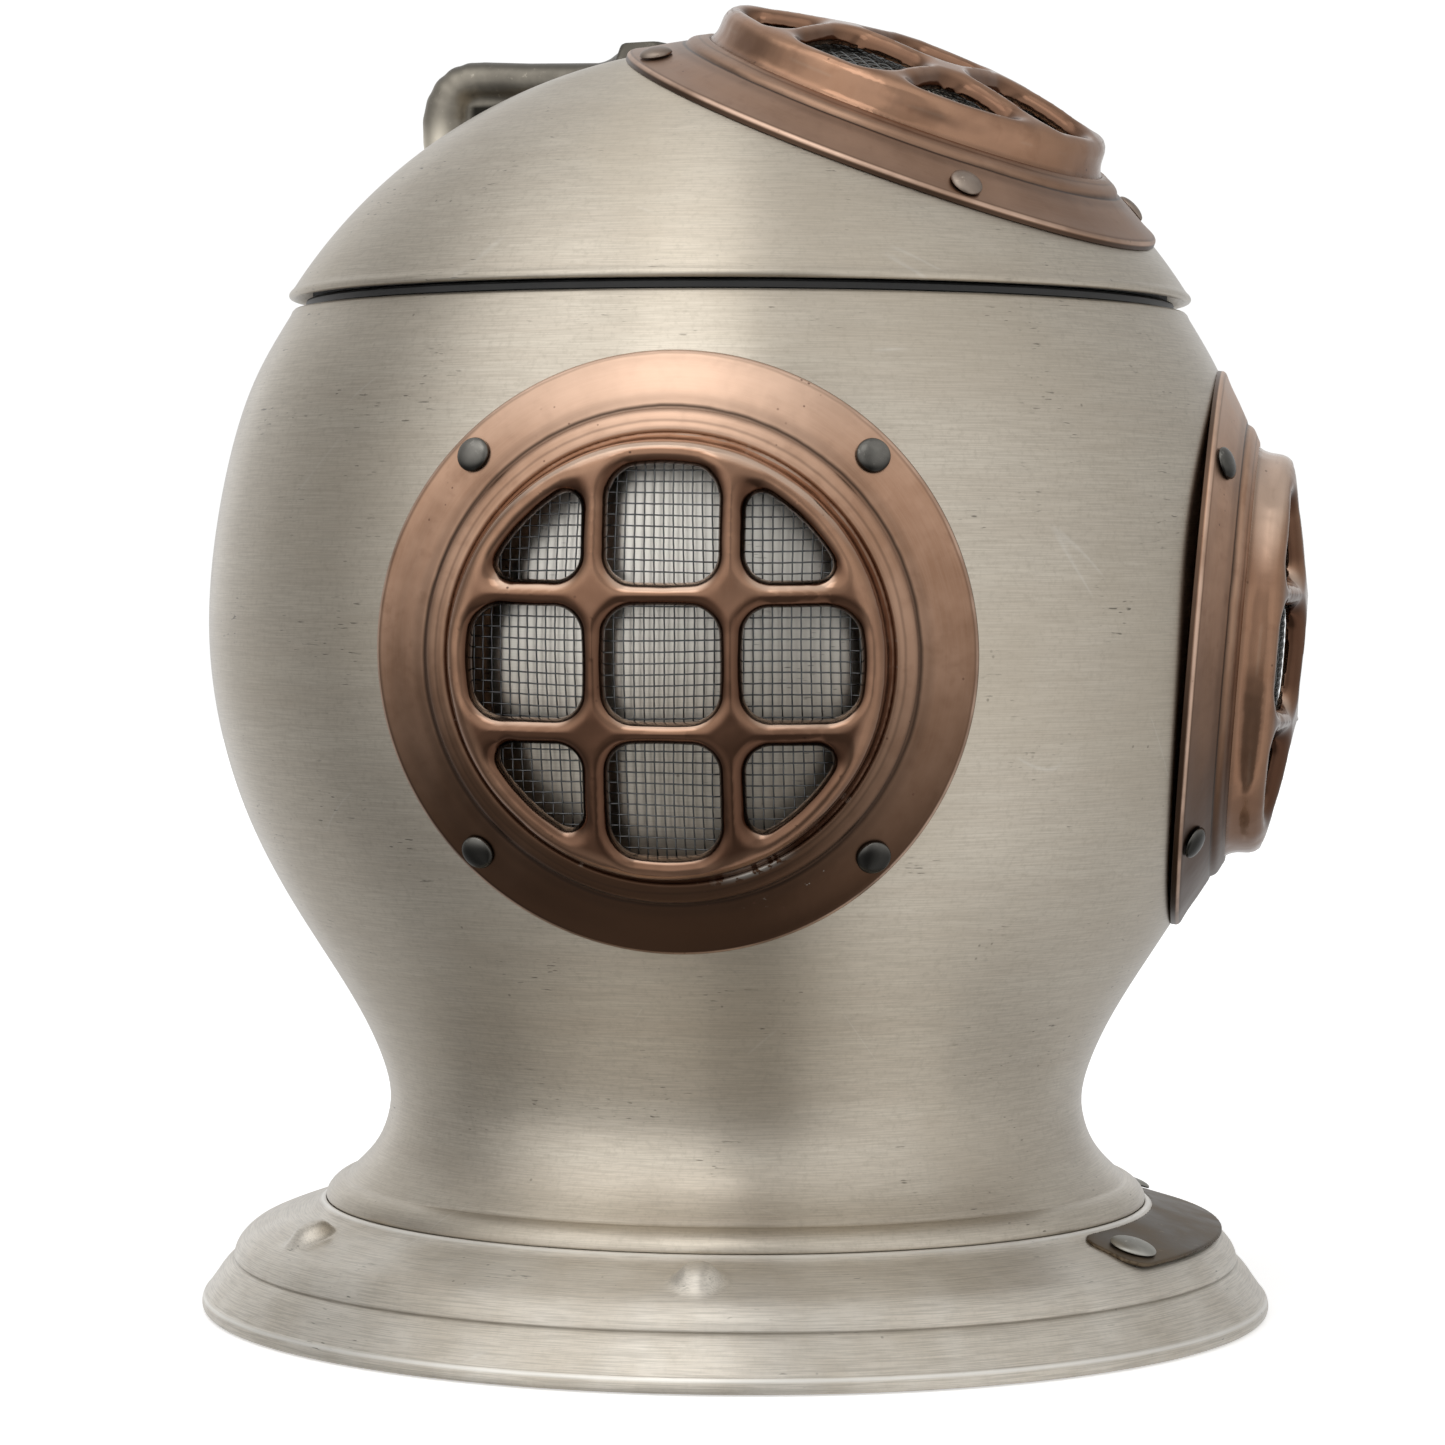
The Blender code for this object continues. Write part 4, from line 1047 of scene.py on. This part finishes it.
# brightness of the studio by angle from the camera's side towards the helmet's right, in degrees:
# overhead, level with the helmet, and below it
OVERHEAD = [(-180, 0.9), (-150, 0.85), (-121, 0.8), (-105, 0.9), (-92, 1.3), (-75, 1.6), (-55, 1.7),
            (-31, 1.7), (-8, 1.65), (2, 1.4), (15, 1.15), (31, 1.05), (55, 0.95), (76, 0.84), (92, 0.76),
            (120, 0.66), (150, 0.65), (180, 0.85)]
LEVEL = [(-180, 0.8), (-157, 0.85), (-136, 0.62), (-115, 0.45), (-97, 0.42), (-84, 0.62), (-70, 0.9),
         (-57, 1.1), (-42, 1.25), (-27, 1.2), (-14, 1.15), (0, 0.75), (12, 0.7), (27, 0.95), (42, 0.98),
         (57, 0.9), (73, 0.8), (91, 0.7), (112, 0.6), (144, 0.54), (180, 0.8)]
BELOW = [(-180, 0.6), (-144, 0.6), (-122, 0.5), (-104, 0.3), (-88, 0.26), (-70, 0.38), (-52, 0.5),
         (-34, 0.5), (-17, 0.4), (0, 0.28), (15, 0.3), (34, 0.75), (52, 1.0), (70, 0.95), (88, 0.8),
         (112, 0.65), (180, 0.6)]
BRIGHTEST = 1.6


def make_world():
    """Soft studio light: brightest overhead near the camera, dimmer sides, and a darker room below."""
    world = bpy.data.worlds.new("studio")
    bpy.context.scene.world = world
    world.use_nodes = True
    tree = world.node_tree

    def add(kind, inputs=(), **settings):
        node = tree.nodes.new("ShaderNode" + kind)
        for key, value in settings.items():
            setattr(node, key, value)
        for socket, value in zip(node.inputs, inputs):
            if isinstance(value, bpy.types.NodeSocket):
                tree.links.new(value, socket)
            else:
                socket.default_value = value
        return node

    turn = add("VectorRotate", [add("TexCoord").outputs["Generated"], (0, 0, 0), (0, 0, 1),
                                -LOOK_AZIMUTH], rotation_type="Z_AXIS")
    parts = add("SeparateXYZ", [turn.outputs[0]]).outputs
    around = add("Math", [parts[0], add("Math", [parts[1], -1.0], operation="MULTIPLY").outputs[0]],
                 operation="ARCTAN2")
    share = add("Math", [around.outputs[0], 1 / math.tau, 0.5], operation="MULTIPLY_ADD")
    shades = []
    for stops in (OVERHEAD, LEVEL, BELOW):
        ramp = add("ValToRGB", [share.outputs[0]])
        ramp.color_ramp.interpolation = "EASE"
        marks = ramp.color_ramp.elements
        while len(marks) < len(stops):
            marks.new(0.5)
        for mark, (angle, value) in zip(marks, stops):
            mark.position = angle / 360 + 0.5
            mark.color = (value / BRIGHTEST,) * 3 + (1.0,)
        shades.append(ramp.outputs[0])
    shade = shades[2]
    for low, high, upper in ((-0.5, 0.05, shades[1]), (0.5, 0.85, shades[0])):
        height = add("MapRange", [parts[2], low, high, 0.0, 1.0], interpolation_type="SMOOTHSTEP")
        mixed = add("Mix", data_type="RGBA")
        for index, value in ((0, height.outputs[0]), (6, shade), (7, upper)):
            tree.links.new(value, mixed.inputs[index])
        shade = mixed.outputs[2]
    sky = tree.nodes["Background"]
    tree.links.new(shade, sky.inputs["Color"])
    sky.inputs["Strength"].default_value = BRIGHTEST


def glow_white(name, strength, base):
    p = Paint(name)
    cloud = p.noise(p.place()[0], 4.0, 2.0)
    p.set(Base_Color=p.mix(cloud, (base, base, base), (base + 0.02,) * 3), Roughness=0.9)
    p.shader.inputs["Emission Color"].default_value = (1, 1, 1, 1)
    p.shader.inputs["Emission Strength"].default_value = strength
    return p.material


def make_floor():
    """A pale floor that takes the shadow, and a white dome that only the camera sees."""
    points, faces = turned([(0, -0.3), (2600, -0.3), (2600, -10.0), (0, -10.0)], 64)
    floor = add_mesh("floor", points, faces, glow_white("studio_floor", 0.42, 0.88))
    floor.visible_glossy = False
    dome = cap_arc(2700, 0.0, 0.0, math.radians(115), 40)
    points, faces = turned(dome + cap_arc(2710, 0.0, math.radians(115), 0.0, 40), 64)
    backdrop = add_mesh("backdrop", points, faces, glow_white("studio_white", 1.0, 0.0))
    for ray in ("diffuse", "glossy", "transmission", "volume_scatter", "shadow"):
        setattr(backdrop, "visible_" + ray, False)


make_camera()
make_world()
make_floor()
area_light("key", -14, 50, 1200, 450, 0.5)
bpy.context.scene.view_settings.view_transform = "Standard"
